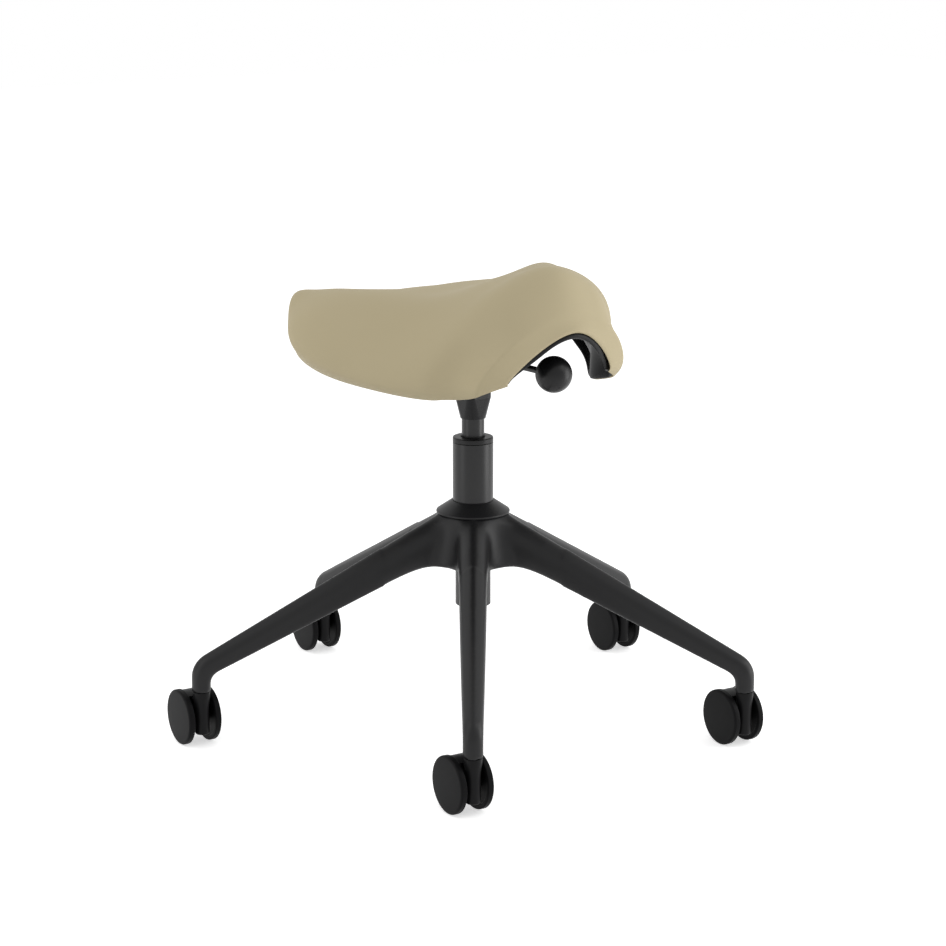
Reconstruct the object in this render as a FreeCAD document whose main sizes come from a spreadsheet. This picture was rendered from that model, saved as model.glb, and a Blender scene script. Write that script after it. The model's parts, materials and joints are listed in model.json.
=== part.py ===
import FreeCAD, Part
import math
import os
import re
import Sketcher
from FreeCAD import Placement, Rotation, Vector

os.makedirs("parts", exist_ok=True)
doc = FreeCAD.newDocument("SaddleStool")

# Driving dimensions, in millimetres and degrees. The origin is on the floor under the column,
# the seat's nose points along -Y and its width lies along X.
SIZES = {
    # five-star base
    "leg_reach": 346.0,          # column axis to a caster's stem
    "first_leg_angle": -127.0,   # the leg nearest the photographer
    "leg_tip_radius": 12.0,
    "leg_tip_height": 70.4,
    "leg_wall": 3.5,
    "rib_thickness": 3.0,
    "hub_top": 269.0,
    "hub_bottom": 203.0,
    "hub_radius": 43.0,
    "hub_foot_radius": 37.0,
    "web_radius": 40.0,
    "web_half_width": 17.5,
    # column tube and what it holds
    "tube_radius": 25.0,
    "tube_wall": 2.0,
    "tube_drop": 30.0,           # from the housing's foot down to the tube's top
    "tube_foot": 150.0,
    "tube_foot_radius": 21.85,
    "foot_chamfer": 1.5,
    "foot_plate_height": 153.0,
    "foot_plate_thickness": 4.0,
    "ring_height": 6.7,
    "bushing_length": 80.0,
    "collar_rise": 18.0,
    "collar_wall": 2.0,
    "collar_lip": 2.4,
    # gas spring
    "cylinder_radius": 14.0,
    "cylinder_wall": 2.0,
    "cylinder_foot": 175.0,
    "cylinder_length": 271.0,
    "cylinder_taper_length": 54.0,
    "cylinder_top_radius": 12.9,
    "cylinder_plug_length": 46.0,
    "end_guide_length": 15.0,
    "rod_radius": 5.0,
    "rod_foot_drop": 4.0,
    "piston_height": 318.0,
    "piston_length": 12.0,
    "rod_nut_length": 4.0,
    "race_thickness": 1.5,
    "race_outer_radius": 16.0,
    "race_inner_radius": 6.0,
    "ball_radius": 2.0,
    "ball_circle_radius": 11.0,
    "cage_thickness": 1.2,
    "cage_width": 6.0,
    "bumper_radius": 14.0,
    "washer_thickness": 1.0,
    "clip_thickness": 1.2,
    "clip_radius": 9.0,
    "valve_pin_radius": 3.5,
    "valve_pin_rise": 6.0,
    "valve_pin_length": 44.0,
    # tilt-free seat mechanism and its lever
    "housing_socket_length": 60.0,
    "housing_neck_length": 26.0,
    "housing_foot_half": 15.4,
    "housing_half": 18.0,
    "housing_floor_drop": 6.0,   # from the cylinder's top down to the foot of the box
    "housing_rise": 40.0,
    "housing_front": 46.0,
    "housing_back": 30.0,
    "housing_wall": 4.0,
    "housing_corner": 8.0,
    "plate_length": 116.0,
    "plate_width": 156.0,
    "plate_thickness": 4.0,
    "plate_corner": 18.0,
    "plate_bolt_x": 60.0,
    "plate_bolt_y": 42.0,
    "bolt_radius": 3.0,
    "bolt_head_radius": 5.0,
    "bolt_head_height": 4.0,
    "bolt_length": 14.0,
    "pivot_offset": 30.0,
    "pivot_rise": 18.0,
    "pivot_pin_radius": 3.0,
    "pivot_barrel_radius": 7.0,
    "lever_radius": 4.0,
    "lever_reach": 157.0,
    "tongue_width": 10.0,
    "tongue_overhang": 4.0,
    "tongue_drop": 5.0,          # from the pivot's axis down to the tongue's upper face
    "knob_radius": 21.8,
    "knob_bore_depth": 15.0,
    # saddle seat
    "seat_length": 320.0,
    "seat_half_width": 232.0,
    "seat_foot_drop": 8.0,       # from the cylinder's top down to the wings' feet
    "seat_rise": 152.0,
    "cushion_crown_depth": 38.0,
    "cushion_shoulder_depth": 34.0,
    "cushion_side_depth": 25.0,
    "cushion_rim_depth": 9.0,
    "lip_height": 8.0,
    "shell_thickness": 5.0,
    "shell_bead": 2.5,
    "boss_radius": 11.0,
    "screw_radius": 2.0,
    "screw_head_radius": 4.0,
    "screw_head_height": 2.2,
    "screw_length": 13.0,
    # twin-wheel casters
    "trail_angle": 84.0,         # all five casters stand parallel, as photographed
    "trail": 22.0,
    "wheel_radius": 34.0,
    "wheel_gap_half": 13.9,
    "wheel_rim_width": 5.75,
    "wheel_dome": 2.35,
    "wheel_rim_depth": 6.0,
    "wheel_edge": 1.5,
    "wheel_web": 2.1,
    "wheel_hub_radius": 8.0,
    "axle_radius": 3.0,
    "axle_half_length": 18.7,
    "caster_web_half": 7.0,
    "fender_radius": 32.5,
    "fender_wall": 2.5,
    "fender_drop": 8.0,
    "post_radius": 9.8,
    "post_head_radius": 10.7,
    "post_head_height": 7.0,
    "post_foot": 12.0,
    "post_top_gap": 0.5,
    "stem_radius": 5.5,
    "stem_foot": 44.0,
    "stem_rise": 26.0,
    "grip_ring_drop": 8.0,
    "grip_ring_height": 2.0,
    "grip_ring_depth": 0.8,
    # clearances shared by the pieces on both sides of a fit
    "running_fit": 0.05,
    "seat_gap": 0.3,
    "cut_overrun": 2.0,
}
LEG_COUNT = 5
BALL_COUNT = 12

# Levels that follow from the lengths above, so the column stays joined when one of them changes
LEVELS = {
    "cylinder_top": "cylinder_foot + cylinder_length",
    "cylinder_taper_start": "cylinder_top - cylinder_taper_length",
    "housing_foot": "cylinder_top - housing_socket_length",
    "housing_shoulder": "housing_foot + housing_neck_length",
    "housing_box_foot": "cylinder_top - housing_floor_drop",
    "housing_top": "cylinder_top + housing_rise",
    "tube_top": "housing_foot - tube_drop",
    "pivot_height": "cylinder_top + pivot_rise",
    "tongue_foot": "cylinder_top + valve_pin_rise + seat_gap",
    "seat_foot_height": "cylinder_top - seat_foot_drop",
}

sheet = doc.addObject("Spreadsheet::Sheet", "Sizes")
cells = {name: str(value) for name, value in SIZES.items()}
cells.update({name: "=" + formula for name, formula in LEVELS.items()})
for row, (name, content) in enumerate(cells.items(), start=1):
    sheet.set(f"A{row}", name)
    sheet.set(f"B{row}", content)
    sheet.setAlias(f"B{row}", name)
doc.recompute()


def size(name):
    """A driving dimension or level, read back from the sheet."""
    return float(getattr(sheet, name))


def linked(formula):
    """The formula with every driving dimension written as a cell of the sheet."""
    def cell(word):
        return "Sizes." + word.group() if word.group() in cells else word.group()

    return re.sub(r"[a-z][a-z_]*", cell, formula)


def amount(formula):
    """What a formula of driving dimensions comes to now."""
    return float(sheet.evalExpression(formula))


def bind(thing, **formulas):
    """Tie properties of an object to the sheet; a double underscore stands for a dot."""
    for prop, formula in formulas.items():
        thing.setExpression(prop.replace("__", "."), linked(formula))
    return thing


sub_parts = []


def sub_part(thing, label, placement=None):
    """Name an object as one piece of the stool and put it in its place."""
    thing.Label = label
    if placement is not None:
        thing.Placement = placement
    sub_parts.append(thing)
    return thing


def outline_sketch(body, name, plane, corners):
    """A closed outline on an origin plane of the body, each corner tied to the sheet."""
    sketch = body.newObject("Sketcher::SketchObject", name)
    origin_plane = next(item for item in body.Origin.OriginFeatures if item.Role == plane)
    sketch.AttachmentSupport = [(origin_plane, "")]
    sketch.MapMode = "FlatFace"
    spots = [Vector(amount(across), amount(up), 0) for across, up in corners]
    for index, spot in enumerate(spots):
        sketch.addGeometry(Part.LineSegment(spot, spots[(index + 1) % len(spots)]), False)
    for index in range(len(spots)):
        sketch.addConstraint(Sketcher.Constraint("Coincident", index, 2, (index + 1) % len(spots), 1))
    for index, (across, up) in enumerate(corners):
        spot = spots[index]
        for kind, formula, distance, axis in (("DistanceX", across, spot.x, -2), ("DistanceY", up, spot.y, -1)):
            if formula == "0":
                sketch.addConstraint(Sketcher.Constraint("PointOnObject", index, 1, axis))
                continue
            number = sketch.addConstraint(Sketcher.Constraint(kind, -1, 1, index, 1, distance))
            sketch.renameConstraint(number, f"{kind[-1].lower()}_{index}")
            sketch.setExpression(f"Constraints.{kind[-1].lower()}_{index}", linked(formula))
    return sketch


def turned_body(name, corners):
    """A body turned about Z from an outline of radius and height."""
    body = doc.addObject("PartDesign::Body", name)
    sketch = outline_sketch(body, name + "_outline", "XZ_Plane", corners)
    turn = body.newObject("PartDesign::Revolution", name + "_turn")
    turn.Profile = sketch
    turn.ReferenceAxis = (sketch, ["V_Axis"])
    turn.Angle = 360
    body.Tip = turn
    return body


def primitive(kind, name, placement=None, **formulas):
    """One of Part's solids with its sizes tied to the sheet."""
    thing = bind(doc.addObject(kind, name), **formulas)
    if placement is not None:
        thing.Placement = placement
    return thing


def fused(name, *things):
    joined = doc.addObject("Part::MultiFuse", name)
    joined.Shapes = list(things)
    joined.Refine = True
    return joined


def cut(name, base, *tools):
    tool = tools[0] if len(tools) == 1 else fused(name + "_tools", *tools)
    result = doc.addObject("Part::Cut", name)
    result.Base = base
    result.Tool = tool
    return result


def at(across=0, along=0, up=0, turn=None):
    return Placement(Vector(across, along, up), turn or Rotation())


ALONG_X = Rotation(Vector(0, 1, 0), 90)
ALONG_Y = Rotation(Vector(1, 0, 0), -90)
TOWARDS_FRONT = Rotation(Vector(1, 0, 0), 90)

# Column: the tube seats in the hub's cone; its foot shows below the hub.
taper_wall = "tube_foot_radius - tube_wall"
tube = turned_body("ColumnTube", [
    ("tube_foot_radius - foot_chamfer", "tube_foot"),
    ("tube_foot_radius", "tube_foot + foot_chamfer"),
    ("tube_foot_radius", "hub_bottom"),
    ("tube_radius", "hub_top"),
    ("tube_radius", "tube_top"),
    ("tube_radius - tube_wall", "tube_top"),
    ("tube_radius - tube_wall", "hub_top"),
    (taper_wall, "hub_bottom"),
    (taper_wall, "foot_plate_height + foot_plate_thickness"),
    ("rod_radius + running_fit", "foot_plate_height + foot_plate_thickness"),
    ("rod_radius + running_fit", "foot_plate_height"),
    (taper_wall, "foot_plate_height"),
    (taper_wall, "tube_foot"),
])
sub_part(tube, "column_tube")

ring_foot = "tube_top + seat_gap"
cap_ring = turned_body("CapRing", [
    ("cylinder_radius + seat_gap", ring_foot),
    ("tube_radius", ring_foot),
    ("tube_radius", "tube_top + ring_height - foot_chamfer"),
    ("tube_radius - foot_chamfer", "tube_top + ring_height"),
    ("cylinder_radius + foot_chamfer", "tube_top + ring_height"),
    ("cylinder_radius + seat_gap", "tube_top + ring_height - foot_chamfer"),
])
sub_part(cap_ring, "tube_cap_ring")

bushing = turned_body("GuideBushing", [
    ("cylinder_radius + running_fit", "tube_top - bushing_length"),
    ("tube_radius - tube_wall - running_fit", "tube_top - bushing_length"),
    ("tube_radius - tube_wall - running_fit", "tube_top"),
    ("cylinder_radius + running_fit", "tube_top"),
])
sub_part(bushing, "guide_bushing")

# Cone that covers the hub's joint with the tube, with a lip over the hub's edge
cone_foot = "hub_top + collar_wall"
lip_outer = "hub_radius + collar_lip"
lip_inner = "hub_radius + seat_gap"
collar = turned_body("HubCollar", [
    ("tube_radius + seat_gap", "hub_top + collar_rise"),
    ("tube_radius + seat_gap + collar_wall", "hub_top + collar_rise"),
    (lip_outer, cone_foot),
    (lip_outer, "hub_top - collar_lip"),
    (lip_inner, "hub_top - collar_lip"),
    (lip_inner, "hub_top + seat_gap"),
    ("tube_radius + seat_gap", "hub_top + collar_rise - collar_wall"),
])
sub_part(collar, "hub_collar")

# Foot of the piston rod: clip and washer below the plate, thrust bearing and bumper above it
plate_top = "foot_plate_height + foot_plate_thickness"


def washer(name, inner, outer, foot, thickness):
    return turned_body(name, [
        (inner, foot),
        (outer, foot),
        (outer, f"{foot} + {thickness}"),
        (inner, f"{foot} + {thickness}"),
    ])


foot_washer = washer("FootWasher", "rod_radius + seat_gap", "clip_radius + clip_thickness",
                     "foot_plate_height - washer_thickness", "washer_thickness")
sub_part(foot_washer, "foot_washer")

lower_race = washer("LowerRace", "race_inner_radius", "race_outer_radius", plate_top, "race_thickness")
sub_part(lower_race, "lower_race")

ball_level = f"{plate_top} + race_thickness + running_fit + ball_radius"
upper_race_foot = f"{ball_level} + ball_radius + running_fit"
upper_race = washer("UpperRace", "rod_radius", "race_outer_radius", upper_race_foot, "race_thickness")
sub_part(upper_race, "upper_race")

cage_inner = "ball_circle_radius - cage_width / 2"
cage_outer = "ball_circle_radius + cage_width / 2"
cage_blank = washer("BallCageBlank", cage_inner, cage_outer, f"{ball_level} - cage_thickness / 2", "cage_thickness")


def ring_of_balls(radius):
    """Spheres spaced evenly round the thrust bearing's ball circle."""
    balls = []
    for index in range(BALL_COUNT):
        angle = 2 * math.pi * index / BALL_COUNT
        spot = Vector(math.cos(angle), math.sin(angle), 0) * size("ball_circle_radius")
        balls.append(Part.makeSphere(radius, spot + Vector(0, 0, amount(ball_level))))
    return Part.makeCompound(balls)


def plain_feature(name, shape):
    thing = doc.addObject("Part::Feature", name)
    thing.Shape = shape
    return thing


balls = plain_feature("ThrustBalls", ring_of_balls(size("ball_radius")))
sub_part(balls, "thrust_balls", at())
ball_pockets = plain_feature("BallPockets", ring_of_balls(size("ball_radius") + size("running_fit")))
sub_part(cut("BallCage", cage_blank, ball_pockets), "ball_cage")

bumper_foot = f"{upper_race_foot} + race_thickness"
bumper = turned_body("Bumper", [
    ("rod_radius + seat_gap", bumper_foot),
    ("bumper_radius", bumper_foot),
    ("bumper_radius", "cylinder_foot - seat_gap - foot_chamfer"),
    ("bumper_radius - foot_chamfer", "cylinder_foot - seat_gap"),
    ("rod_radius + seat_gap", "cylinder_foot - seat_gap"),
])
sub_part(bumper, "rubber_bumper")

clip_top = "foot_plate_height - washer_thickness - seat_gap"
clip = washer("RodClip", "rod_radius", "clip_radius", f"{clip_top} - clip_thickness", "clip_thickness")
sub_part(clip, "rod_clip")

piston_top = "piston_height + piston_length"
rod = turned_body("PistonRod", [
    ("0", "foot_plate_height - rod_foot_drop"),
    ("rod_radius", "foot_plate_height - rod_foot_drop"),
    ("rod_radius", f"{piston_top} + rod_nut_length - foot_chamfer"),
    ("rod_radius - foot_chamfer", f"{piston_top} + rod_nut_length"),
    ("0", f"{piston_top} + rod_nut_length"),
])
sub_part(rod, "piston_rod")

bore = "cylinder_radius - cylinder_wall"
piston = washer("Piston", "rod_radius", f"{bore} - running_fit", "piston_height", "piston_length")
sub_part(piston, "piston")

# Gas cylinder: slides in the bushing, with a tapered plug end that wedges in the housing
cylinder = turned_body("GasCylinder", [
    (bore, "cylinder_foot"),
    ("cylinder_radius - foot_chamfer / 2", "cylinder_foot"),
    ("cylinder_radius", "cylinder_foot + foot_chamfer / 2"),
    ("cylinder_radius", "cylinder_taper_start"),
    ("cylinder_top_radius", "cylinder_top"),
    ("valve_pin_radius + running_fit", "cylinder_top"),
    ("valve_pin_radius + running_fit", "cylinder_top - cylinder_plug_length"),
    (bore, "cylinder_top - cylinder_plug_length"),
])
sub_part(cylinder, "gas_cylinder")

end_guide = washer("CylinderEndGuide", "rod_radius + running_fit", bore, "cylinder_foot", "end_guide_length")
sub_part(end_guide, "cylinder_end_guide")

pin_dome_level = "cylinder_top + valve_pin_rise - valve_pin_radius"
pin_shank = primitive("Part::Cylinder", "ValvePinShank", Radius="valve_pin_radius", Height="valve_pin_length")
bind(pin_shank, Placement__Base__z=f"{pin_dome_level} - valve_pin_length")
pin_dome = primitive("Part::Sphere", "ValvePinDome", Radius="valve_pin_radius")
bind(pin_dome, Placement__Base__z=pin_dome_level)
sub_part(fused("ValvePin", pin_shank, pin_dome), "valve_pin")

# Five-star base. A leg is a loft along its bent centre line; every place is a share of the
# leg's reach, the hub's height and the tip's radius, from the hub out to the caster.
LEG_STATION_SHARES = (
    # reach share, height share, slope in degrees, half-width share, half-height share, ridge share
    (0.100, 0.877, -12, 2.00, 2.70, 1.00),
    (0.202, 0.848, -24, 1.64, 2.20, 1.00),
    (0.340, 0.768, -26, 1.46, 1.84, 1.00),
    (0.578, 0.621, -26, 1.30, 1.62, 1.00),
    (0.838, 0.461, -26, 1.12, 1.35, 1.00),
    (0.931, 0.407, -36, 1.06, 1.22, 0.70),
    (0.9855, 0.349, -66, 1.02, 1.05, 0.30),
    (1.000, 0.300, -90, 1.00, 1.00, 0.00),
)
# Half of a leg's section, from its ridge to its underside, and the round section of its tip
RIDGED_SECTION_SHARES = ((0, 1), (0.50, 0.93), (0.92, 0.62), (1, 0), (0.97, -0.52), (0.72, -0.93), (0, -1))
ROUND_SECTION_SHARES = tuple((math.sin(math.pi * step / 6), math.cos(math.pi * step / 6)) for step in range(7))


def leg_station(station):
    """Centre, side and upward directions, and half sizes of a leg's section."""
    reach, height, slope, half_width, half_height, ridge = station
    centre = Vector(reach * size("leg_reach"), 0, height * size("hub_top"))
    upward = Vector(-math.sin(math.radians(slope)), 0, math.cos(math.radians(slope)))
    return centre, upward, half_width * size("leg_tip_radius"), half_height * size("leg_tip_radius"), ridge


def leg_section(station):
    centre, upward, half_width, half_height, ridge = leg_station(station)
    half = []
    for (ridged_x, ridged_y), (round_x, round_y) in zip(RIDGED_SECTION_SHARES, ROUND_SECTION_SHARES):
        half.append((ridged_x * ridge + round_x * (1 - ridge), ridged_y * ridge + round_y * (1 - ridge)))
    ring = half + [(-across, up) for across, up in half[-2:0:-1]]
    spots = [centre + Vector(0, across * half_width, 0) + upward * (up * half_height) for across, up in ring]
    curve = Part.BSplineCurve()
    curve.interpolate(Points=spots, PeriodicFlag=True)
    return Part.Wire(curve.toShape())


def leg_tip_section():
    circle = leg_section(LEG_STATION_SHARES[-1])
    drop = size("leg_tip_height") - LEG_STATION_SHARES[-1][1] * size("hub_top")
    circle.translate(Vector(0, 0, drop))
    return circle


def leg_channel():
    """The open space under a leg, inside its walls, narrower at its roof."""
    wall = size("leg_wall")
    sections = []
    for station in LEG_STATION_SHARES[1:6]:
        centre, upward, half_width, half_height, _ = leg_station(station)
        roof = upward * (half_height - 2 * wall)
        floor = upward * (-half_height - 2 * wall)
        roof_side = Vector(0, half_width - 2 * wall, 0)
        floor_side = Vector(0, half_width - wall, 0)
        corners = [roof + roof_side, floor + floor_side, floor - floor_side, roof - roof_side, roof + roof_side]
        sections.append(Part.makePolygon([centre + corner for corner in corners]))
    return Part.makeLoft(sections, True, True)


RIB_SHARES = (0.30, 0.42, 0.54, 0.66, 0.78)


def leg_ribs():
    """A long rib down the middle of a leg's channel and thin ones across it."""
    thickness = size("rib_thickness")
    reach = size("leg_reach")
    height = size("hub_top")
    ribs = [Part.makeBox(reach, thickness, height, Vector(0, -thickness / 2, 0))]
    for share in RIB_SHARES:
        ribs.append(Part.makeBox(thickness, reach, height, Vector(share * reach, -reach / 2, 0)))
    return Part.makeCompound(ribs)


def leg_shape():
    sections = [leg_section(station) for station in LEG_STATION_SHARES]
    outer = Part.makeLoft(sections + [leg_tip_section()], True, False)
    channel = leg_channel()
    under_skin = outer.common(channel)
    ribs = under_skin.common(leg_ribs())
    overrun = size("cut_overrun")
    socket = Part.makeCylinder(size("stem_radius") + size("running_fit"), size("stem_rise") + overrun,
                               Vector(size("leg_reach"), 0, size("leg_tip_height") - overrun))
    return outer.cut(channel).fuse(ribs).cut(socket)


def hub_shape():
    fit = size("running_fit")
    profile = [
        (size("tube_foot_radius") + fit, size("hub_bottom")),
        (size("hub_foot_radius"), size("hub_bottom")),
        (size("hub_radius"), size("hub_bottom") + size("hub_radius") - size("hub_foot_radius")),
        (size("hub_radius"), size("hub_top")),
        (size("tube_radius") + fit, size("hub_top")),
    ]
    spots = [Vector(radius, 0, height) for radius, height in profile]
    face = Part.Face(Part.makePolygon(spots + spots[:1]))
    return face.revolve(Vector(), Vector(0, 0, 1), 360)


def tube_room():
    """The cone that the tube fills in the hub, with its running fit."""
    fit = size("running_fit")
    bottom = size("hub_bottom")
    top = size("hub_top")
    overrun = size("cut_overrun")
    narrow = size("tube_foot_radius") + fit
    wide = size("tube_radius") + fit
    cone = Part.makeCone(narrow, wide, top - bottom, Vector(0, 0, bottom))
    shaft = Part.makeCylinder(wide, overrun * 2, Vector(0, 0, top))
    foot = Part.makeCylinder(narrow, bottom, Vector(0, 0, 0))
    return cone.fuse([shaft, foot])


def turned_copies(shape, angles):
    """Copies of a shape turned about the column's axis."""
    copies = []
    for angle in angles:
        turned = shape.copy()
        turned.rotate(Vector(), Vector(0, 0, 1), angle)
        copies.append(turned)
    return copies


# Outline of the webs beside the hub, as shares of the leg's reach and of the hub's height
WEB_OUTLINE_SHARES = ((0.100, 0.755), (0.180, 0.790), (0.240, 0.800), (0.240, 0.855), (0.180, 0.920), (0.125, 0.985))


def web_shape(angles):
    """Webs that join neighbouring legs at the hub, with a round hollow between each two legs."""
    reach = size("leg_reach")
    spots = [Vector(share * reach, 0, level * size("hub_top")) for share, level in WEB_OUTLINE_SHARES]
    skirt = Part.Face(Part.makePolygon(spots + spots[:1])).revolve(Vector(), Vector(0, 0, 1), 360)
    out = (size("web_half_width") + size("web_radius")) / math.sin(math.pi / LEG_COUNT)
    hollow = Part.makeCylinder(size("web_radius"), size("hub_top"), Vector(out, 0, 0))
    half_step = 180.0 / LEG_COUNT
    hollows = turned_copies(hollow, [angle + half_step for angle in angles])
    return skirt.cut(hollows).cut(turned_copies(leg_channel(), angles))


leg_angles = [size("first_leg_angle") + 360.0 / LEG_COUNT * index for index in range(LEG_COUNT)]
legs = turned_copies(leg_shape(), leg_angles)
above_hub = Part.makeCylinder(size("leg_reach") / 3, size("hub_top"), Vector(0, 0, size("hub_top")))


def collar_room():
    """The ring round the hub's top edge that the collar's lip fills."""
    lip = size("collar_lip")
    foot = Vector(0, 0, size("hub_top") - lip - size("seat_gap"))
    outside = Part.makeCylinder(size("hub_radius") + lip + size("seat_gap"), 2 * lip, foot)
    return outside.cut(Part.makeCylinder(size("hub_radius"), 2 * lip, foot))


hub_and_legs = hub_shape().fuse(legs + [web_shape(leg_angles)])
star = hub_and_legs.cut(tube_room()).cut(above_hub).cut(collar_room()).removeSplitter()
sub_part(plain_feature("FiveStarBase", star), "five_star_base", at())

# Seat mechanism: a cast socket for the gas cylinder, square above and round at its foot


def rounded_square(half, corner, level):
    """A closed wire of four lines and four quarter arcs."""
    edges = []
    bend = corner * (1 - math.sqrt(0.5))
    start = Vector(half, corner - half, level)
    end = Vector(half, half - corner, level)
    middle = Vector(half - bend, half - bend, level)
    after = Vector(half - corner, half, level)
    for turn in range(4):
        for shape in (Part.makeLine(start, end), Part.Arc(end, middle, after).toShape()):
            shape.rotate(Vector(), Vector(0, 0, 1), 90 * turn)
            edges.append(shape)
    return Part.Wire(edges)


FOOT_CORNER_SHARE = 0.96
foot_half = size("housing_foot_half")
socket = Part.makeLoft([
    rounded_square(foot_half, foot_half * FOOT_CORNER_SHARE, size("housing_foot")),
    rounded_square(size("housing_half"), size("housing_corner"), size("housing_shoulder")),
    rounded_square(size("housing_half"), size("housing_corner"), size("housing_box_foot")),
], True, True)
socket_feature = plain_feature("HousingSocket", socket)
box = primitive("Part::Box", "HousingBox", Length="2 * housing_half", Width="housing_front + housing_back",
                Height="housing_top - housing_box_foot")
bind(box, Placement__Base__x="-housing_half", Placement__Base__y="-housing_front",
     Placement__Base__z="housing_box_foot")
room = primitive("Part::Box", "HousingRoom", Length="2 * (housing_half - housing_wall)",
                 Width="housing_front + housing_back - 2 * housing_wall", Height="housing_top - housing_box_foot")
bind(room, Placement__Base__x="housing_wall - housing_half", Placement__Base__y="housing_wall - housing_front",
     Placement__Base__z="housing_box_foot + housing_wall")
slot = primitive("Part::Box", "LeverSlot", Length="3 * lever_radius", Width="housing_wall + 2 * cut_overrun",
                 Height="4 * lever_radius")
bind(slot, Placement__Base__x="-1.5 * lever_radius", Placement__Base__y="-housing_front - cut_overrun",
     Placement__Base__z="pivot_height - 1.5 * lever_radius")
taper_fit = primitive("Part::Cone", "CylinderRoom", Radius1="cylinder_radius + running_fit",
                      Radius2="cylinder_top_radius + running_fit", Height="cylinder_top - cylinder_taper_start")
bind(taper_fit, Placement__Base__z="cylinder_taper_start")
mouth_fit = primitive("Part::Cylinder", "CylinderMouth", Radius="cylinder_radius + running_fit",
                      Height="cylinder_taper_start - housing_foot + cut_overrun")
bind(mouth_fit, Placement__Base__z="housing_foot - cut_overrun")
pin_hole = primitive("Part::Cylinder", "PivotHole", at(turn=ALONG_X), Radius="pivot_pin_radius",
                     Height="2 * housing_half + 2 * cut_overrun")
bind(pin_hole, Placement__Base__x="-housing_half - cut_overrun", Placement__Base__y="-pivot_offset",
     Placement__Base__z="pivot_height")
housing_blank = fused("HousingBlank", socket_feature, box)
housing = cut("MechanismHousing", housing_blank, room, slot, taper_fit, mouth_fit, pin_hole)
sub_part(housing, "mechanism_housing")

pivot_pin = primitive("Part::Cylinder", "PivotPin", at(turn=ALONG_X), Radius="pivot_pin_radius",
                      Height="2 * housing_half")
bind(pivot_pin, Placement__Base__x="-housing_half", Placement__Base__y="-pivot_offset",
     Placement__Base__z="pivot_height")
sub_part(pivot_pin, "lever_pivot_pin")

# Steel plate between the housing and the shell's bosses
plate_blank = primitive("Part::Box", "PlateBlank", Length="plate_width", Width="plate_length",
                        Height="plate_thickness")
bind(plate_blank, Placement__Base__x="-plate_width / 2", Placement__Base__y="-plate_length / 2",
     Placement__Base__z="housing_top")
doc.recompute()
plate_rounded = doc.addObject("Part::Fillet", "PlateRounded")
plate_rounded.Base = plate_blank
upright_edges = [number for number, edge in enumerate(plate_blank.Shape.Edges, start=1)
                 if abs(edge.tangentAt(edge.FirstParameter).z) > 0.5]
plate_rounded.Edges = [(number, size("plate_corner"), size("plate_corner")) for number in upright_edges]
bolt_spots = [(side * size("plate_bolt_x"), end * size("plate_bolt_y")) for side in (-1, 1) for end in (-1, 1)]


def bolt_shape(radius, head_radius, head_height, length, foot):
    """A pan-head bolt that points up, with its head below the level of its foot."""
    shank = Part.makeCylinder(radius, length, Vector(0, 0, foot))
    head = Part.makeCylinder(head_radius, head_height, Vector(0, 0, foot - head_height))
    return shank.fuse(head)


def spread(shape, spots):
    copies = []
    for across, along in spots:
        placed = shape.copy()
        placed.translate(Vector(across, along, 0))
        copies.append(placed)
    return Part.makeCompound(copies)


bolt = bolt_shape(size("bolt_radius"), size("bolt_head_radius"), size("bolt_head_height"), size("bolt_length"),
                  size("housing_top"))
sub_part(plain_feature("PlateBolts", spread(bolt, bolt_spots)), "plate_bolts", at())
bolt_hole = Part.makeCylinder(size("bolt_radius") + size("running_fit"), size("bolt_length") + size("seat_gap"),
                              Vector(0, 0, size("housing_top") - size("seat_gap")))
bolt_holes = plain_feature("BoltHoles", spread(bolt_hole, bolt_spots))
sub_part(cut("SeatPlate", plate_rounded, bolt_holes), "seat_plate")

# Height lever: pulled up at the knob, its tongue presses the valve pin down
lever_rod = primitive("Part::Cylinder", "LeverRod", at(turn=TOWARDS_FRONT), Radius="lever_radius",
                      Height="lever_reach - knob_radius + knob_bore_depth - pivot_offset")
bind(lever_rod, Placement__Base__y="-pivot_offset", Placement__Base__z="pivot_height")
barrel = primitive("Part::Cylinder", "LeverBarrel", at(turn=ALONG_X), Radius="pivot_barrel_radius",
                   Height="2 * (housing_half - housing_wall - seat_gap)")
bind(barrel, Placement__Base__x="housing_wall + seat_gap - housing_half", Placement__Base__y="-pivot_offset",
     Placement__Base__z="pivot_height")
tongue = primitive("Part::Box", "LeverTongue", Length="tongue_width", Width="pivot_offset + tongue_overhang",
                   Height="pivot_height - tongue_drop - tongue_foot")
bind(tongue, Placement__Base__x="-tongue_width / 2", Placement__Base__y="-pivot_offset",
     Placement__Base__z="tongue_foot")
lever_bore = primitive("Part::Cylinder", "LeverBore", at(turn=ALONG_X), Radius="pivot_pin_radius + running_fit",
                       Height="2 * housing_half")
bind(lever_bore, Placement__Base__x="-housing_half", Placement__Base__y="-pivot_offset",
     Placement__Base__z="pivot_height")
sub_part(cut("HeightLever", fused("LeverBlank", lever_rod, barrel, tongue), lever_bore), "height_lever")

knob_ball = primitive("Part::Sphere", "KnobBall", Radius="knob_radius")
bind(knob_ball, Placement__Base__y="-lever_reach", Placement__Base__z="pivot_height")
knob_bore = primitive("Part::Cylinder", "KnobBore", at(turn=TOWARDS_FRONT), Radius="lever_radius",
                      Height="knob_bore_depth + cut_overrun")
bind(knob_bore, Placement__Base__y="knob_radius - lever_reach + cut_overrun", Placement__Base__z="pivot_height")
sub_part(cut("BallKnob", knob_ball, knob_bore), "ball_knob")

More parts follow.
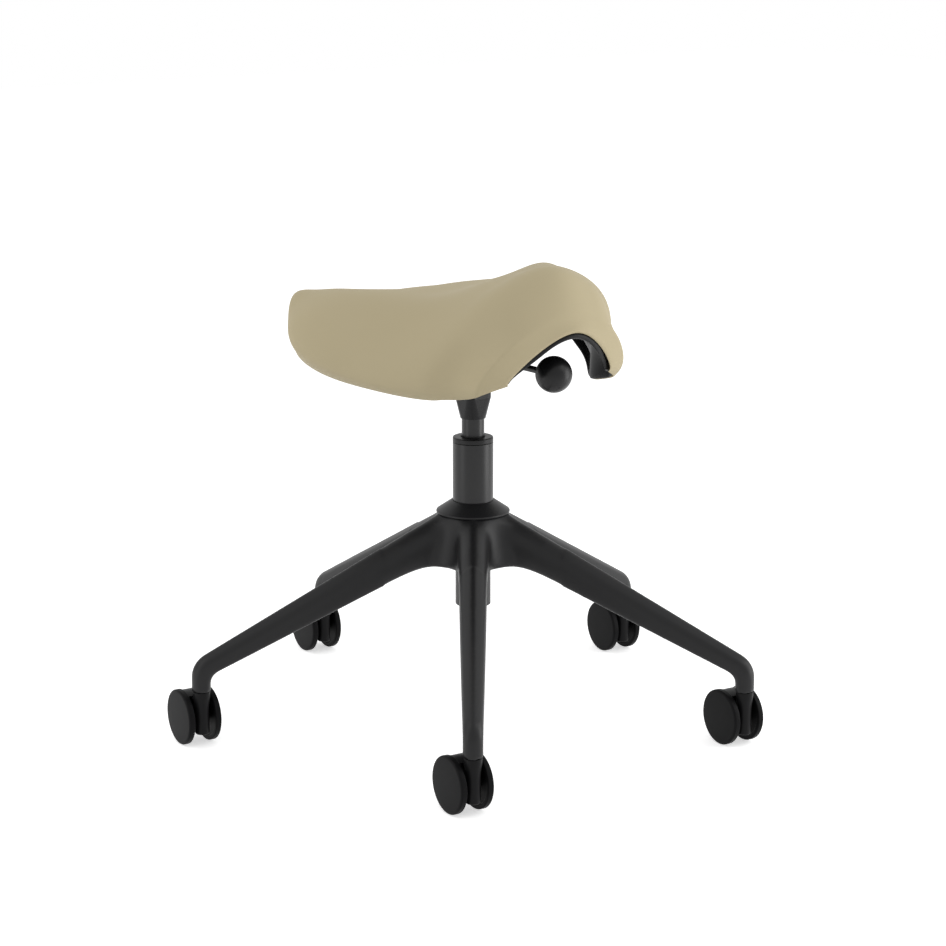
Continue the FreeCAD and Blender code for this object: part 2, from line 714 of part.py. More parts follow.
# Saddle seat: rows of sections across it, from its rear edge over the nose to the edge of the
# arch. A section is flat and leans forward. Places are shares of the seat's length, widths are
# shares of its half width and heights are shares of its rise above the wings' feet.
SEAT_ROW_SHARES = (
    # place, lean, centre, shoulder, half width, widest, rim width, rim height, fullness, lip
    (-0.48, 0.00, 0.55, 0.54, 0.33, 0.49, 0.96, 0.43, 0.26, 0.00),
    (-0.45, 0.00, 0.58, 0.58, 0.45, 0.50, 0.97, 0.36, 0.45, 0.00),
    (-0.39, 0.03, 0.61, 0.59, 0.63, 0.51, 0.97, 0.29, 0.68, 0.00),
    (-0.32, 0.05, 0.59, 0.66, 0.83, 0.66, 0.95, 0.31, 0.88, 0.00),
    (-0.23, 0.09, 0.58, 0.75, 0.94, 0.55, 0.94, 0.26, 0.98, 0.00),
    (-0.09, 0.09, 0.73, 0.73, 1.01, 0.40, 0.85, 0.14, 1.00, 0.00),
    (0.08, 0.09, 0.76, 0.65, 0.88, 0.23, 0.86, 0.06, 1.00, 0.00),
    (0.24, 0.14, 0.87, 0.59, 0.73, 0.15, 0.87, 0.01, 1.00, 0.00),
    (0.36, 0.22, 0.95, 0.62, 0.64, 0.15, 0.87, 0.00, 1.00, 0.00),
    (0.45, 0.33, 1.00, 0.66, 0.58, 0.15, 0.90, 0.01, 0.95, 0.00),
    (0.53, 0.43, 0.92, 0.64, 0.50, 0.16, 0.93, 0.02, 0.82, -0.10),
    (0.58, 0.48, 0.72, 0.49, 0.46, 0.17, 0.98, 0.05, 0.55, 0.25),
    (0.59, 0.48, 0.62, 0.42, 0.43, 0.17, 0.99, 0.10, 0.30, 1.00),
    (0.61, 0.46, 0.56, 0.37, 0.34, 0.19, 0.97, 0.11, 0.12, 0.15),
)
SHOULDER_SHARE = 0.72
CROWN_SHARE = 0.28
# Where half a section's five points lie along it, and where the arcs of a whole one end
POINT_PLACE_SHARES = (0, 0.5, 1.0, 1.55, 1.9)
ARC_END_SHARES = (-1.9, -1.5, -0.95, -0.35, 0.35, 0.95, 1.5, 1.9)
# The rows at which both layers have a section, counted along the table above
SECTION_ROW_SHARES = (0.8, 1.4, 2.1, 2.8, 3.5, 4.2, 4.8, 5.4, 6.0, 6.6, 7.2, 7.8, 8.4,
                      9.0, 9.6, 10.2, 10.7, 11.2, 11.7, 12.1, 12.5, 13.0)
# Where the inner faces lie, as shares of the depth, so that the layers keep their thickness
CROWN_INSET_SHARE = 0.10
SHOULDER_INSET_SHARE = 0.35
SHOULDER_DROP_SHARE = 0.94
SIDE_DROP_SHARE = 0.35
RIM_TILT_SHARE = 0.10
# How much of the lip is there along half a section, from its crown to its rim
LIP_SPREAD_SHARES = ((0, 0.25), (0.65, 0.62), (1.1, 1.0), (1.45, 1.0), (1.9, 0.15))
# A short way along a section or from row to row, over which a slope is measured
SLOPE_SHARE = 0.02


def curve_through(places, values):
    """A natural cubic spline through values at the given places."""
    steps = [after - before for before, after in zip(places[:-1], places[1:])]
    slopes = [(after - before) / step for before, after, step in zip(values[:-1], values[1:], steps)]
    weights = [0.0]
    loads = [0.0]
    for index in range(1, len(steps)):
        pivot = 2 * (steps[index - 1] + steps[index]) - steps[index - 1] * weights[-1]
        weights.append(steps[index] / pivot)
        loads.append((6 * (slopes[index] - slopes[index - 1]) - steps[index - 1] * loads[-1]) / pivot)
    bends = [0.0]
    for weight, load in zip(weights[::-1], loads[::-1]):
        bends.insert(0, load - weight * bends[0])

    def value(place):
        index = sum(place > start for start in places[1:-1])
        step = steps[index]
        ahead = places[index + 1] - place
        past = place - places[index]
        curved = (bends[index] * ahead ** 3 + bends[index + 1] * past ** 3) / (6 * step)
        before = (values[index] / step - bends[index] * step / 6) * ahead
        return curved + before + (values[index + 1] / step - bends[index + 1] * step / 6) * past

    return value


LAST_ROW = len(SEAT_ROW_SHARES) - 1
row_curves = [curve_through(range(LAST_ROW + 1), column) for column in zip(*SEAT_ROW_SHARES)]
lip_spread = curve_through(*zip(*LIP_SPREAD_SHARES))
CUSHION_DEPTHS = [size(name) for name in (
    "cushion_crown_depth", "cushion_shoulder_depth", "cushion_side_depth", "cushion_rim_depth")]


def seat_curve(row, depth, extra=0.0):
    """A row's outline as a function of the place along it. At depth 0 it is the upholstery's
    outer face, at depth 1 its inner face; extra is a length further in."""
    shares = [curve(row) for curve in row_curves]
    place, lean, centre, shoulder, half_width, widest, rim_width, rim_height, fullness, lip = shares
    foot = size("seat_foot_height")
    levels = [foot + size("seat_rise") * share for share in (centre, shoulder, widest, rim_height)]
    crown_z, shoulder_z, side_z, rim_z = levels
    width = half_width * size("seat_half_width")
    shoulder_x = SHOULDER_SHARE * width
    between_z = crown_z - (crown_z - shoulder_z) * CROWN_SHARE
    crown, side_of_crown, side, rim = [full * fullness * depth for full in CUSHION_DEPTHS]
    slanted = side_of_crown + extra
    half = [
        (0, crown_z - crown - extra),
        (shoulder_x / 2 - CROWN_INSET_SHARE * crown, between_z - crown - extra),
        (shoulder_x - SHOULDER_INSET_SHARE * slanted, shoulder_z - SHOULDER_DROP_SHARE * slanted),
        (width - side - extra, side_z - SIDE_DROP_SHARE * (side + extra)),
        (width * rim_width - rim - extra, rim_z + RIM_TILT_SHARE * rim),
    ]
    places = [-share for share in POINT_PLACE_SHARES[:0:-1]] + list(POINT_PLACE_SHARES)
    across = curve_through(places, [-x for x, _ in half[:0:-1]] + [x for x, _ in half])
    up = curve_through(places, [z for _, z in half[:0:-1]] + [z for _, z in half])

    def spot(number):
        ahead = number + SLOPE_SHARE
        behind = number - SLOPE_SHARE
        outward = Vector(up(behind) - up(ahead), 0, across(ahead) - across(behind)).normalize()
        swell = lip * size("lip_height") * (1 - depth) * lip_spread(abs(number))
        flat = Vector(across(number), 0, up(number)) + outward * swell
        return flat + Vector(0, lean * (crown_z - flat.z) - place * size("seat_length"), 0)

    return spot


def seat_section(outer, inner, beyond=0.0):
    """A closed wire of arcs between two outlines, with a short line across each rim."""
    shift = Vector(0, -beyond * size("seat_length"), 0)
    edges = []
    for curve, other, ends in ((outer, inner, ARC_END_SHARES), (inner, outer, ARC_END_SHARES[::-1])):
        for start, end in zip(ends[:-1], ends[1:]):
            spots = [curve(number) + shift for number in (start, (start + end) / 2, end)]
            edges.append(Part.Arc(*spots).toShape())
        edges.append(Part.makeLine(curve(ends[-1]) + shift, other(ends[-1]) + shift))
    return Part.Wire(edges)


# How far the upholstery runs on behind its first row, and how much it thins there on each side
ROUNDED_END_SHARES = ((0.006, 0.12), (0.010, 0.30))
# The rows before the last from which the shell's edge is thickened to a bead
BEAD_ROW_SHARE = 0.6


def upholstery_shape():
    """The upholstery from its rounded rear end to the edge of the arch."""
    sections = [seat_section(seat_curve(row, 0), seat_curve(row, 1)) for row in (0,) + SECTION_ROW_SHARES]
    for beyond, thinner in ROUNDED_END_SHARES:
        sections.insert(0, seat_section(seat_curve(0, thinner), seat_curve(0, 1 - thinner), -beyond))
    return Part.makeLoft(sections, True, True)


def shell_outer(row):
    return seat_curve(row, 1, size("seat_gap"))


def shell_inner(row):
    bead = size("shell_bead") if row > LAST_ROW - BEAD_ROW_SHARE else 0
    return seat_curve(row, 1, size("seat_gap") + size("shell_thickness") + bead)


def shell_layer(outer, inner):
    """A layer of the seat between two faces, as long as the shell."""
    return Part.makeLoft([seat_section(outer(row), inner(row)) for row in SECTION_ROW_SHARES], True, True)


upholstery = upholstery_shape()
shell_blank = shell_layer(shell_outer, shell_inner)
boss_room = shell_layer(lambda row: seat_curve(row, 0), shell_outer)

# Bosses stand on the plate and end in the shell, under the upholstery
boss = Part.makeCylinder(size("boss_radius"), size("cushion_crown_depth"),
                         Vector(0, 0, size("housing_top") + size("plate_thickness")))
bosses = spread(boss, bolt_spots).cut(boss_room)

# Screws through the shell near the wings' feet and at its rear corners hold the upholstery
SCREW_PLACE_SHARES = ((7.0, 1.5), (7.0, -1.5), (4.2, 1.4), (4.2, -1.4))


def screw_placement(row, number):
    """Where a screw's head sits on the shell's inner face, pointing out into the cushion."""
    spot = shell_inner(row)(number)
    along = shell_inner(row + SLOPE_SHARE)(number) - shell_inner(row - SLOPE_SHARE)(number)
    across = shell_inner(row)(number + SLOPE_SHARE) - shell_inner(row)(number - SLOPE_SHARE)
    outward = across.cross(along)
    if outward.dot(shell_outer(row)(number) - spot) < 0:
        outward = outward * -1
    return Placement(spot, Rotation(Vector(0, 0, 1), outward))


def screws(extra):
    """The upholstery screws, or with extra the holes that clear them."""
    screw = bolt_shape(size("screw_radius") + extra, size("screw_head_radius") + extra,
                       size("screw_head_height") + extra, size("screw_length") + extra, size("screw_head_height") / 2)
    placed = []
    for row, number in SCREW_PLACE_SHARES:
        copy = screw.copy()
        copy.Placement = screw_placement(row, number)
        placed.append(copy)
    return Part.makeCompound(placed)


screw_holes = screws(size("running_fit"))
shell = shell_blank.fuse(bosses.Solids).cut(bolt_holes.Shape).cut(screw_holes)
sub_part(plain_feature("SeatShell", shell), "seat_shell", at())
sub_part(plain_feature("Cushion", upholstery.cut(screw_holes)), "cushion", at())
sub_part(plain_feature("ShellScrews", screws(0)), "shell_screws", at())

# Casters: stem in the leg's tip, a swivelling housing, an axle and two wheels
stem_top = "leg_tip_height + stem_rise - seat_gap"
ring_level = f"{stem_top} - grip_ring_drop"


def caster_stem(name):
    return turned_body(name, [
        ("0", "stem_foot + seat_gap"),
        ("stem_radius - grip_ring_depth", "stem_foot + seat_gap"),
        ("stem_radius", "stem_foot + seat_gap + grip_ring_depth"),
        ("stem_radius", ring_level),
        ("stem_radius - grip_ring_depth", ring_level),
        ("stem_radius - grip_ring_depth", f"{ring_level} + grip_ring_height"),
        ("stem_radius", f"{ring_level} + grip_ring_height"),
        ("stem_radius", f"{stem_top} - grip_ring_depth"),
        ("stem_radius - grip_ring_depth", stem_top),
        ("0", stem_top),
    ])


def caster_housing(name):
    """Swivel post, web between the wheels and the fender over them; the trail runs along X."""
    post_top = "leg_tip_height - post_top_gap"
    post = turned_body(name + "Post", [
        ("0", "post_foot"),
        ("post_radius - foot_chamfer", "post_foot"),
        ("post_radius", "post_foot + foot_chamfer"),
        ("post_radius", f"{post_top} - post_head_height"),
        ("post_head_radius", f"{post_top} - post_head_height + foot_chamfer"),
        ("post_head_radius", f"{post_top} - foot_chamfer / 2"),
        ("post_head_radius - foot_chamfer / 2", post_top),
        ("0", post_top),
    ])

    def disc(label, radius, half):
        made = primitive("Part::Cylinder", name + label, at(turn=ALONG_Y), Radius=radius, Height=f"2 * {half}")
        return bind(made, Placement__Base__x="trail", Placement__Base__y=f"-{half}", Placement__Base__z="wheel_radius")

    web = disc("Web", "fender_radius - fender_wall / 2", "caster_web_half")
    fender_half = "(wheel_gap_half - 2 * seat_gap)"
    fender = cut(name + "Fender", disc("FenderOuter", "fender_radius", fender_half),
                 disc("FenderInner", "fender_radius - fender_wall", f"({fender_half} + cut_overrun)"))
    upper = primitive("Part::Box", name + "Upper", Length="4 * wheel_radius", Width="4 * wheel_radius",
                      Height="2 * wheel_radius")
    bind(upper, Placement__Base__x="-wheel_radius", Placement__Base__y="-2 * wheel_radius",
         Placement__Base__z="wheel_radius - fender_drop")
    hood = doc.addObject("Part::Common", name + "Hood")
    hood.Base = fused(name + "Discs", web, fender)
    hood.Tool = upper
    hub = disc("Hub", "2 * wheel_hub_radius", "caster_web_half")
    stem_bore = primitive("Part::Cylinder", name + "StemBore", Radius="stem_radius + running_fit",
                          Height="wheel_radius")
    bind(stem_bore, Placement__Base__z="stem_foot")
    axle_bore = disc("AxleBore", "axle_radius", "(caster_web_half + cut_overrun)")
    return cut(name, fused(name + "Blank", post, hood, hub), stem_bore, axle_bore)


# Corners of a wheel's domed face between its rim and its middle: radius and rise
WHEEL_FACE_SHARES = ((0.80, 0.60), (0.45, 0.92))


def caster_wheel(name):
    """A dished wheel turned about its axle, with its outer face domed and closed."""
    rim_end = "wheel_gap_half + wheel_rim_width"
    dish = f"{rim_end} + wheel_dome"
    web_start = "wheel_gap_half + wheel_web"
    return turned_body(name, [
        ("axle_radius + running_fit", "caster_web_half + 2 * seat_gap"),
        ("wheel_hub_radius", "caster_web_half + 2 * seat_gap"),
        ("wheel_hub_radius", web_start),
        ("wheel_radius - wheel_rim_depth", web_start),
        ("wheel_radius - wheel_rim_depth", "wheel_gap_half"),
        ("wheel_radius - wheel_edge", "wheel_gap_half"),
        ("wheel_radius", "wheel_gap_half + wheel_edge"),
        ("wheel_radius", f"{rim_end} - wheel_edge"),
        ("wheel_radius - wheel_edge", rim_end),
        *[(f"{reach} * wheel_radius", f"{rim_end} + {rise} * wheel_dome") for reach, rise in WHEEL_FACE_SHARES],
        ("0", dish),
        ("0", "axle_half_length + seat_gap"),
        ("axle_radius + running_fit", "axle_half_length + seat_gap"),
    ])


trail_turn = Rotation(Vector(0, 0, 1), size("trail_angle"))
tips = []
for angle in leg_angles:
    reach = size("leg_reach")
    tips.append(Vector(reach * math.cos(math.radians(angle)), reach * math.sin(math.radians(angle)), 0))
for number, tip in enumerate(tips, start=1):
    axle_centre = tip + trail_turn.multVec(Vector(size("trail"), 0, 0)) + Vector(0, 0, size("wheel_radius"))
    sub_part(caster_stem(f"Stem{number}"), f"caster_{number}_stem", Placement(tip, trail_turn))
    sub_part(caster_housing(f"CasterHousing{number}"), f"caster_{number}_housing", Placement(tip, trail_turn))
    to_left = trail_turn * ALONG_Y
    to_right = trail_turn * TOWARDS_FRONT
    axle = primitive("Part::Cylinder", f"Axle{number}", Radius="axle_radius", Height="2 * axle_half_length")
    axle_start = axle_centre - to_left.multVec(Vector(0, 0, size("axle_half_length")))
    sub_part(axle, f"caster_{number}_axle", Placement(axle_start, to_left))
    for side, turn in (("left", to_left), ("right", to_right)):
        wheel = caster_wheel(f"Wheel{side.title()}{number}")
        sub_part(wheel, f"caster_{number}_wheel_{side}", Placement(axle_centre, turn))

doc.recompute()
ring_profile = Part.Face(Part.makePolygon([
    Vector(radius, 0, amount(ring_level) + level) for radius, level in (
        (size("stem_radius") - size("grip_ring_depth"), 0),
        (size("stem_radius"), 0),
        (size("stem_radius"), size("grip_ring_height")),
        (size("stem_radius") - size("grip_ring_depth"), size("grip_ring_height")),
        (size("stem_radius") - size("grip_ring_depth"), 0))]))
SPLIT_RING_ANGLE = 320
grip_ring = ring_profile.revolve(Vector(), Vector(0, 0, 1), SPLIT_RING_ANGLE)
grip_rings = spread(grip_ring, [(tip.x, tip.y) for tip in tips])
sub_part(plain_feature("GripRings", grip_rings), "stem_grip_rings", at())
doc.recompute()

# Nothing is written unless every object and every piece is sound.
for thing in doc.Objects:
    if "Invalid" in thing.State or "Error" in thing.State:
        raise RuntimeError(f"{thing.Name} failed: {thing.State}")
for piece in sub_parts:
    if piece.Shape.isNull() or not piece.Shape.isValid() or not piece.Shape.Solids:
        raise RuntimeError(f"{piece.Label} has no sound solid")
for piece in sub_parts:
    piece.Shape.exportStep(f"parts/{piece.Label}.step")
    print(piece.Label, len(piece.Shape.Solids), "solid", round(piece.Shape.Volume), "mm3")
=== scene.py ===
"""Looks of an adjustable saddle stool: padded seat, gas lift, star base and twin-wheel casters.

Everything is in metres in the part's own frame: the origin is on the floor under the column, the
seat's nose points along -Y and its width lies along X.
"""

import json
import math

import bmesh
import bpy
import numpy as np
from mathutils import Matrix, Vector


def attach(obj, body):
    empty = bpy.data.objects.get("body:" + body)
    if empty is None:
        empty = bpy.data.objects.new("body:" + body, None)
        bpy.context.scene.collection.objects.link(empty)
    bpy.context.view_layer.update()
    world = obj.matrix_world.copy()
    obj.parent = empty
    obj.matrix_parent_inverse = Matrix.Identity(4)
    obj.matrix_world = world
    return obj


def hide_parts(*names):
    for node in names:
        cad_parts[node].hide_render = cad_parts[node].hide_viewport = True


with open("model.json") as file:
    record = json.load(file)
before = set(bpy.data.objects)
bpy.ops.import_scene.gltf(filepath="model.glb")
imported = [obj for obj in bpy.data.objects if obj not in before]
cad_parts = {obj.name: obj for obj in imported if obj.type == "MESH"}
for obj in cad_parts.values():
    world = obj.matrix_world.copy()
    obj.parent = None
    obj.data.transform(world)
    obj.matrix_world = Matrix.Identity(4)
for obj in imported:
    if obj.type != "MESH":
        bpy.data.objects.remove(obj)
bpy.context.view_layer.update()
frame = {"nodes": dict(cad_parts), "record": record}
nodes = frame["nodes"]
MM = 0.001


# Small tools

def linear(hex_colour):
    """An sRGB hex colour as linear RGBA."""
    parts = [int(hex_colour[i:i + 2], 16) / 255 for i in (1, 3, 5)]
    return [c / 12.92 if c <= 0.04045 else ((c + 0.055) / 1.055) ** 2.4 for c in parts] + [1.0]


def add_node(tree, kind, links=None, **settings):
    """A node with its properties, socket values and incoming links set by name."""
    node = tree.nodes.new(kind)
    for name, value in settings.items():
        if hasattr(node, name):
            setattr(node, name, value)
        else:
            node.inputs[name.replace("_", " ")].default_value = value
    for name, source in (links or {}).items():
        tree.links.new(source, node.inputs[name])
    return node


def shown(name, mesh):
    thing = bpy.data.objects.new(name, mesh)
    bpy.context.scene.collection.objects.link(thing)
    return thing


def mesh_object(name, points, faces, sharp_from=None):
    """A mesh object with its normals turned outwards, smooth up to an angle in degrees."""
    mesh = bpy.data.meshes.new(name)
    mesh.from_pydata([tuple(p) for p in points], [], [tuple(f) for f in faces])
    work = bmesh.new()
    work.from_mesh(mesh)
    bmesh.ops.remove_doubles(work, verts=work.verts, dist=MM / 1000)
    bmesh.ops.dissolve_degenerate(work, dist=MM / 10000, edges=work.edges)
    bmesh.ops.recalc_face_normals(work, faces=work.faces)
    work.to_mesh(mesh)
    work.free()
    mesh.shade_smooth()
    if sharp_from is not None:
        mesh.set_sharp_from_angle(angle=math.radians(sharp_from))
    return shown(name, mesh)


def joined(name, *things):
    """Several objects as one mesh, which keeps their sharp edges."""
    work = bmesh.new()
    for thing in things:
        work.from_mesh(thing.data)
        bpy.data.objects.remove(thing)
    mesh = bpy.data.meshes.new(name)
    work.to_mesh(mesh)
    work.free()
    return shown(name, mesh)


def placed(thing, matrix):
    """Move the mesh itself, so that the object stays at the origin."""
    thing.data.transform(matrix)
    thing.data.update()
    return thing


def copied(thing, name, matrix):
    return placed(shown(name, thing.data.copy()), matrix)


def baked(thing, name):
    """The object with its modifiers applied, as a plain mesh in its place."""
    depsgraph = bpy.context.evaluated_depsgraph_get()
    mesh = bpy.data.meshes.new_from_object(thing.evaluated_get(depsgraph))
    bpy.data.objects.remove(thing)
    mesh.name = name
    return shown(name, mesh)


def with_holes(thing, name, *tools):
    """The object with other closed solids cut out of it."""
    for tool in tools:
        cutter = thing.modifiers.new("cut", "BOOLEAN")
        cutter.object = tool
        cutter.solver = "MANIFOLD"
    made = baked(thing, name)
    for tool in tools:
        bpy.data.objects.remove(tool)
    return made


def finished(thing, material, slot, body, *replaced):
    """Give a piece its material, its body and the nodes that it stands for; the slot argument is not used."""
    thing.data.materials.clear()
    thing.data.materials.append(material)
    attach(thing, body)
    if replaced:
        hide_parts(*replaced)
    return thing


def spline(knots, values):
    """A natural cubic spline through rows of values, as a function of an array of places."""
    knots = np.asarray(knots, float)
    values = np.asarray(values, float)
    gaps = np.diff(knots)
    system = np.eye(len(knots))
    target = np.zeros_like(values)
    for i in range(1, len(knots) - 1):
        system[i, i - 1:i + 2] = gaps[i - 1], 2 * (gaps[i - 1] + gaps[i]), gaps[i]
        target[i] = 6 * ((values[i + 1] - values[i]) / gaps[i] - (values[i] - values[i - 1]) / gaps[i - 1])
    bend = np.linalg.solve(system, target)

    def value(places):
        places = np.atleast_1d(np.asarray(places, float))
        i = np.clip(np.searchsorted(knots, places) - 1, 0, len(knots) - 2)
        before = (knots[i + 1] - places)[:, None]
        after = (places - knots[i])[:, None]
        gap = gaps[i][:, None]
        return ((bend[i] * before ** 3 + bend[i + 1] * after ** 3) / (6 * gap)
                + (values[i] / gap - bend[i] * gap / 6) * before
                + (values[i + 1] / gap - bend[i + 1] * gap / 6) * after)

    return value


def rounded_profile(corners, steps=6):
    """Corners of (radius, height, rounding) in millimetres as a smooth run of points in metres."""
    points = []
    for index, (radius, height, rounding) in enumerate(corners):
        here = Vector((radius, height)) * MM
        if rounding == 0 or index in (0, len(corners) - 1):
            points.append(here)
            continue
        to_last = (Vector(corners[index - 1][:2]) * MM - here)
        to_next = (Vector(corners[index + 1][:2]) * MM - here)
        reach = min(rounding * MM, to_last.length * 0.48, to_next.length * 0.48)
        start = here + to_last.normalized() * reach
        end = here + to_next.normalized() * reach
        for step in range(steps + 1):
            t = step / steps
            points.append(start * (1 - t) ** 2 + here * 2 * t * (1 - t) + end * t ** 2)
    return points


def turned(name, corners, segments=96, sharp_from=38):
    """A solid turned about Z from corners of (radius, height, rounding) in millimetres."""
    profile = rounded_profile(corners)
    if corners[0][0] > 0 or corners[-1][0] > 0:
        profile.append(profile[0])
    points, faces = [], []
    for step in range(segments):
        angle = 2 * math.pi * step / segments
        points += [(p[0] * math.cos(angle), p[0] * math.sin(angle), p[1]) for p in profile]
    count = len(profile)
    for step in range(segments):
        here, there = step * count, (step + 1) % segments * count
        faces += [(here + i, there + i, there + i + 1, here + i + 1) for i in range(count - 1)]
    return mesh_object(name, points, faces, sharp_from)


def ringed(name, rings, sharp_from=None):
    """A closed skin through rings of equal length, shut by a flat face at each end."""
    count = len(rings[0])
    faces = []
    for r in range(len(rings) - 1):
        here, there = r * count, (r + 1) * count
        faces += [(here + i, here + (i + 1) % count, there + (i + 1) % count, there + i) for i in range(count)]
    last = (len(rings) - 1) * count
    faces += [range(count), range(last, last + count)]
    return mesh_object(name, np.vstack(rings), faces, sharp_from)


# Camera at the photographer's place: a long lens, a little above the seat

CAMERA_DISTANCE = 3.0645
CAMERA_HEIGHT = 1.0360
CAMERA_AZIMUTH = -127.0
CAMERA_PITCH = 13.22
FOCAL_LENGTH = 97.39


def make_camera():
    data = bpy.data.cameras.new("Camera")
    camera = bpy.data.objects.new("Camera", data)
    bpy.context.scene.collection.objects.link(camera)
    data.lens = FOCAL_LENGTH
    data.sensor_width = 36
    azimuth = math.radians(CAMERA_AZIMUTH)
    pitch = math.radians(CAMERA_PITCH)
    camera.location = (CAMERA_DISTANCE * math.cos(azimuth), CAMERA_DISTANCE * math.sin(azimuth), CAMERA_HEIGHT)
    ahead = Vector((-math.cos(azimuth) * math.cos(pitch), -math.sin(azimuth) * math.cos(pitch), -math.sin(pitch)))
    camera.rotation_euler = ahead.to_track_quat("-Z", "Y").to_euler()
    bpy.context.scene.camera = camera


# Studio: white floor and surroundings, soft boxes to the left and right and a weak one above

WORLD_STRENGTH = 0.78
FLOOR_GLOW = 0.55


def make_world():
    world = bpy.data.worlds.new("Studio")
    bpy.context.scene.world = world
    world.use_nodes = True
    tree = world.node_tree
    tree.nodes.clear()
    path = add_node(tree, "ShaderNodeLightPath")
    straight = add_node(tree, "ShaderNodeMath", {
        0: path.outputs["Is Camera Ray"], 1: path.outputs["Is Transmission Ray"]}, operation="MAXIMUM")
    seen = add_node(tree, "ShaderNodeMath", {
        0: straight.outputs[0], 1: path.outputs["Is Glossy Ray"]}, operation="MAXIMUM")
    around = add_node(tree, "ShaderNodeBackground", Color=linear("#FFFFFF"), Strength=WORLD_STRENGTH)
    backdrop = add_node(tree, "ShaderNodeBackground", Color=linear("#FFFFFF"), Strength=1.0)
    mix = add_node(tree, "ShaderNodeMixShader", {0: seen.outputs[0], 1: around.outputs[0], 2: backdrop.outputs[0]})
    add_node(tree, "ShaderNodeOutputWorld", {"Surface": mix.outputs[0]})


def soft_box(name, azimuth, distance, height, width, tall, watts):
    """A rectangular lamp that faces the column's middle."""
    data = bpy.data.lights.new(name, "AREA")
    data.shape = "RECTANGLE"
    data.size = width
    data.size_y = tall
    data.energy = watts
    lamp = bpy.data.objects.new(name, data)
    bpy.context.scene.collection.objects.link(lamp)
    angle = math.radians(azimuth)
    lamp.location = (distance * math.cos(angle), distance * math.sin(angle), height)
    lamp.rotation_euler = (Vector((0, 0, 0.35)) - lamp.location).to_track_quat("-Z", "Y").to_euler()


def make_floor():
    """White paper: it glows a little for the camera and for reflections, and keeps the shadow."""
    reach = 9.0
    floor = mesh_object("floor", [(-reach, -reach, 0), (reach, -reach, 0), (reach, reach, 0), (-reach, reach, 0)],
                        [(0, 1, 2, 3)])
    placed(floor, Matrix.Translation((0, 0, -0.4 * MM)))
    paper = bpy.data.materials.new("PaperSweep")
    paper.use_nodes = True
    tree = paper.node_tree
    tree.nodes.clear()
    path = add_node(tree, "ShaderNodeLightPath")
    seen = add_node(tree, "ShaderNodeMath", {
        0: path.outputs["Is Camera Ray"], 1: path.outputs["Is Glossy Ray"]}, operation="MAXIMUM")
    matt = add_node(tree, "ShaderNodeBsdfDiffuse", Color=linear("#F2F2F2"))
    glow = add_node(tree, "ShaderNodeEmission", Color=linear("#FFFFFF"), Strength=FLOOR_GLOW)
    both = add_node(tree, "ShaderNodeAddShader", {0: matt.outputs[0], 1: glow.outputs[0]})
    mix = add_node(tree, "ShaderNodeMixShader", {0: seen.outputs[0], 1: matt.outputs[0], 2: both.outputs[0]})
    add_node(tree, "ShaderNodeOutputMaterial", {"Surface": mix.outputs[0]})
    floor.data.materials.append(paper)


def make_studio():
    make_world()
    soft_box("BoxRight", CAMERA_AZIMUTH + 84, 1.25, 0.45, 0.6, 0.9, 5.5)
    soft_box("BoxLeft", CAMERA_AZIMUTH - 62, 1.3, 0.45, 0.5, 0.9, 1.8)
    soft_box("BoxAbove", CAMERA_AZIMUTH + 150, 1.0, 2.2, 1.8, 1.8, 2)
    soft_box("BoxHighRight", CAMERA_AZIMUTH + 70, 1.6, 1.7, 0.8, 0.8, 3.5)
    soft_box("BoxHighLeft", CAMERA_AZIMUTH - 70, 1.6, 1.7, 0.8, 0.8, 3)
    make_floor()


# Materials, each named for what the real one is

def surface(name, colour, other, roughness, grain_mm, bump_mm, metallic=0.0, rough_swing=0.06, **more):
    """A shader whose colour, roughness and height follow noise of a real grain size."""
    material = bpy.data.materials.new(name)
    material.use_nodes = True
    tree = material.node_tree
    tree.nodes.clear()
    where = add_node(tree, "ShaderNodeTexCoord")
    fine = add_node(tree, "ShaderNodeTexNoise", {"Vector": where.outputs["Object"]},
                    Scale=1 / (grain_mm * MM), Detail=3.0, Roughness=0.6)
    broad = add_node(tree, "ShaderNodeTexNoise", {"Vector": where.outputs["Object"]}, Scale=9.0, Detail=4.0)
    tint = add_node(tree, "ShaderNodeMix", {0: broad.outputs["Fac"]}, data_type="RGBA")
    tint.inputs[6].default_value = linear(colour)
    tint.inputs[7].default_value = linear(other)
    rough = add_node(tree, "ShaderNodeMapRange", {"Value": fine.outputs["Fac"]},
                     To_Min=roughness - rough_swing, To_Max=roughness + rough_swing)
    bump = add_node(tree, "ShaderNodeBump", {"Height": fine.outputs["Fac"]}, Distance=bump_mm * MM, Strength=1.0)
    shader = add_node(tree, "ShaderNodeBsdfPrincipled", {
        "Base Color": tint.outputs[2], "Roughness": rough.outputs[0], "Normal": bump.outputs[0]},
        Metallic=metallic, **more)
    add_node(tree, "ShaderNodeOutputMaterial", {"Surface": shader.outputs[0]})
    return material


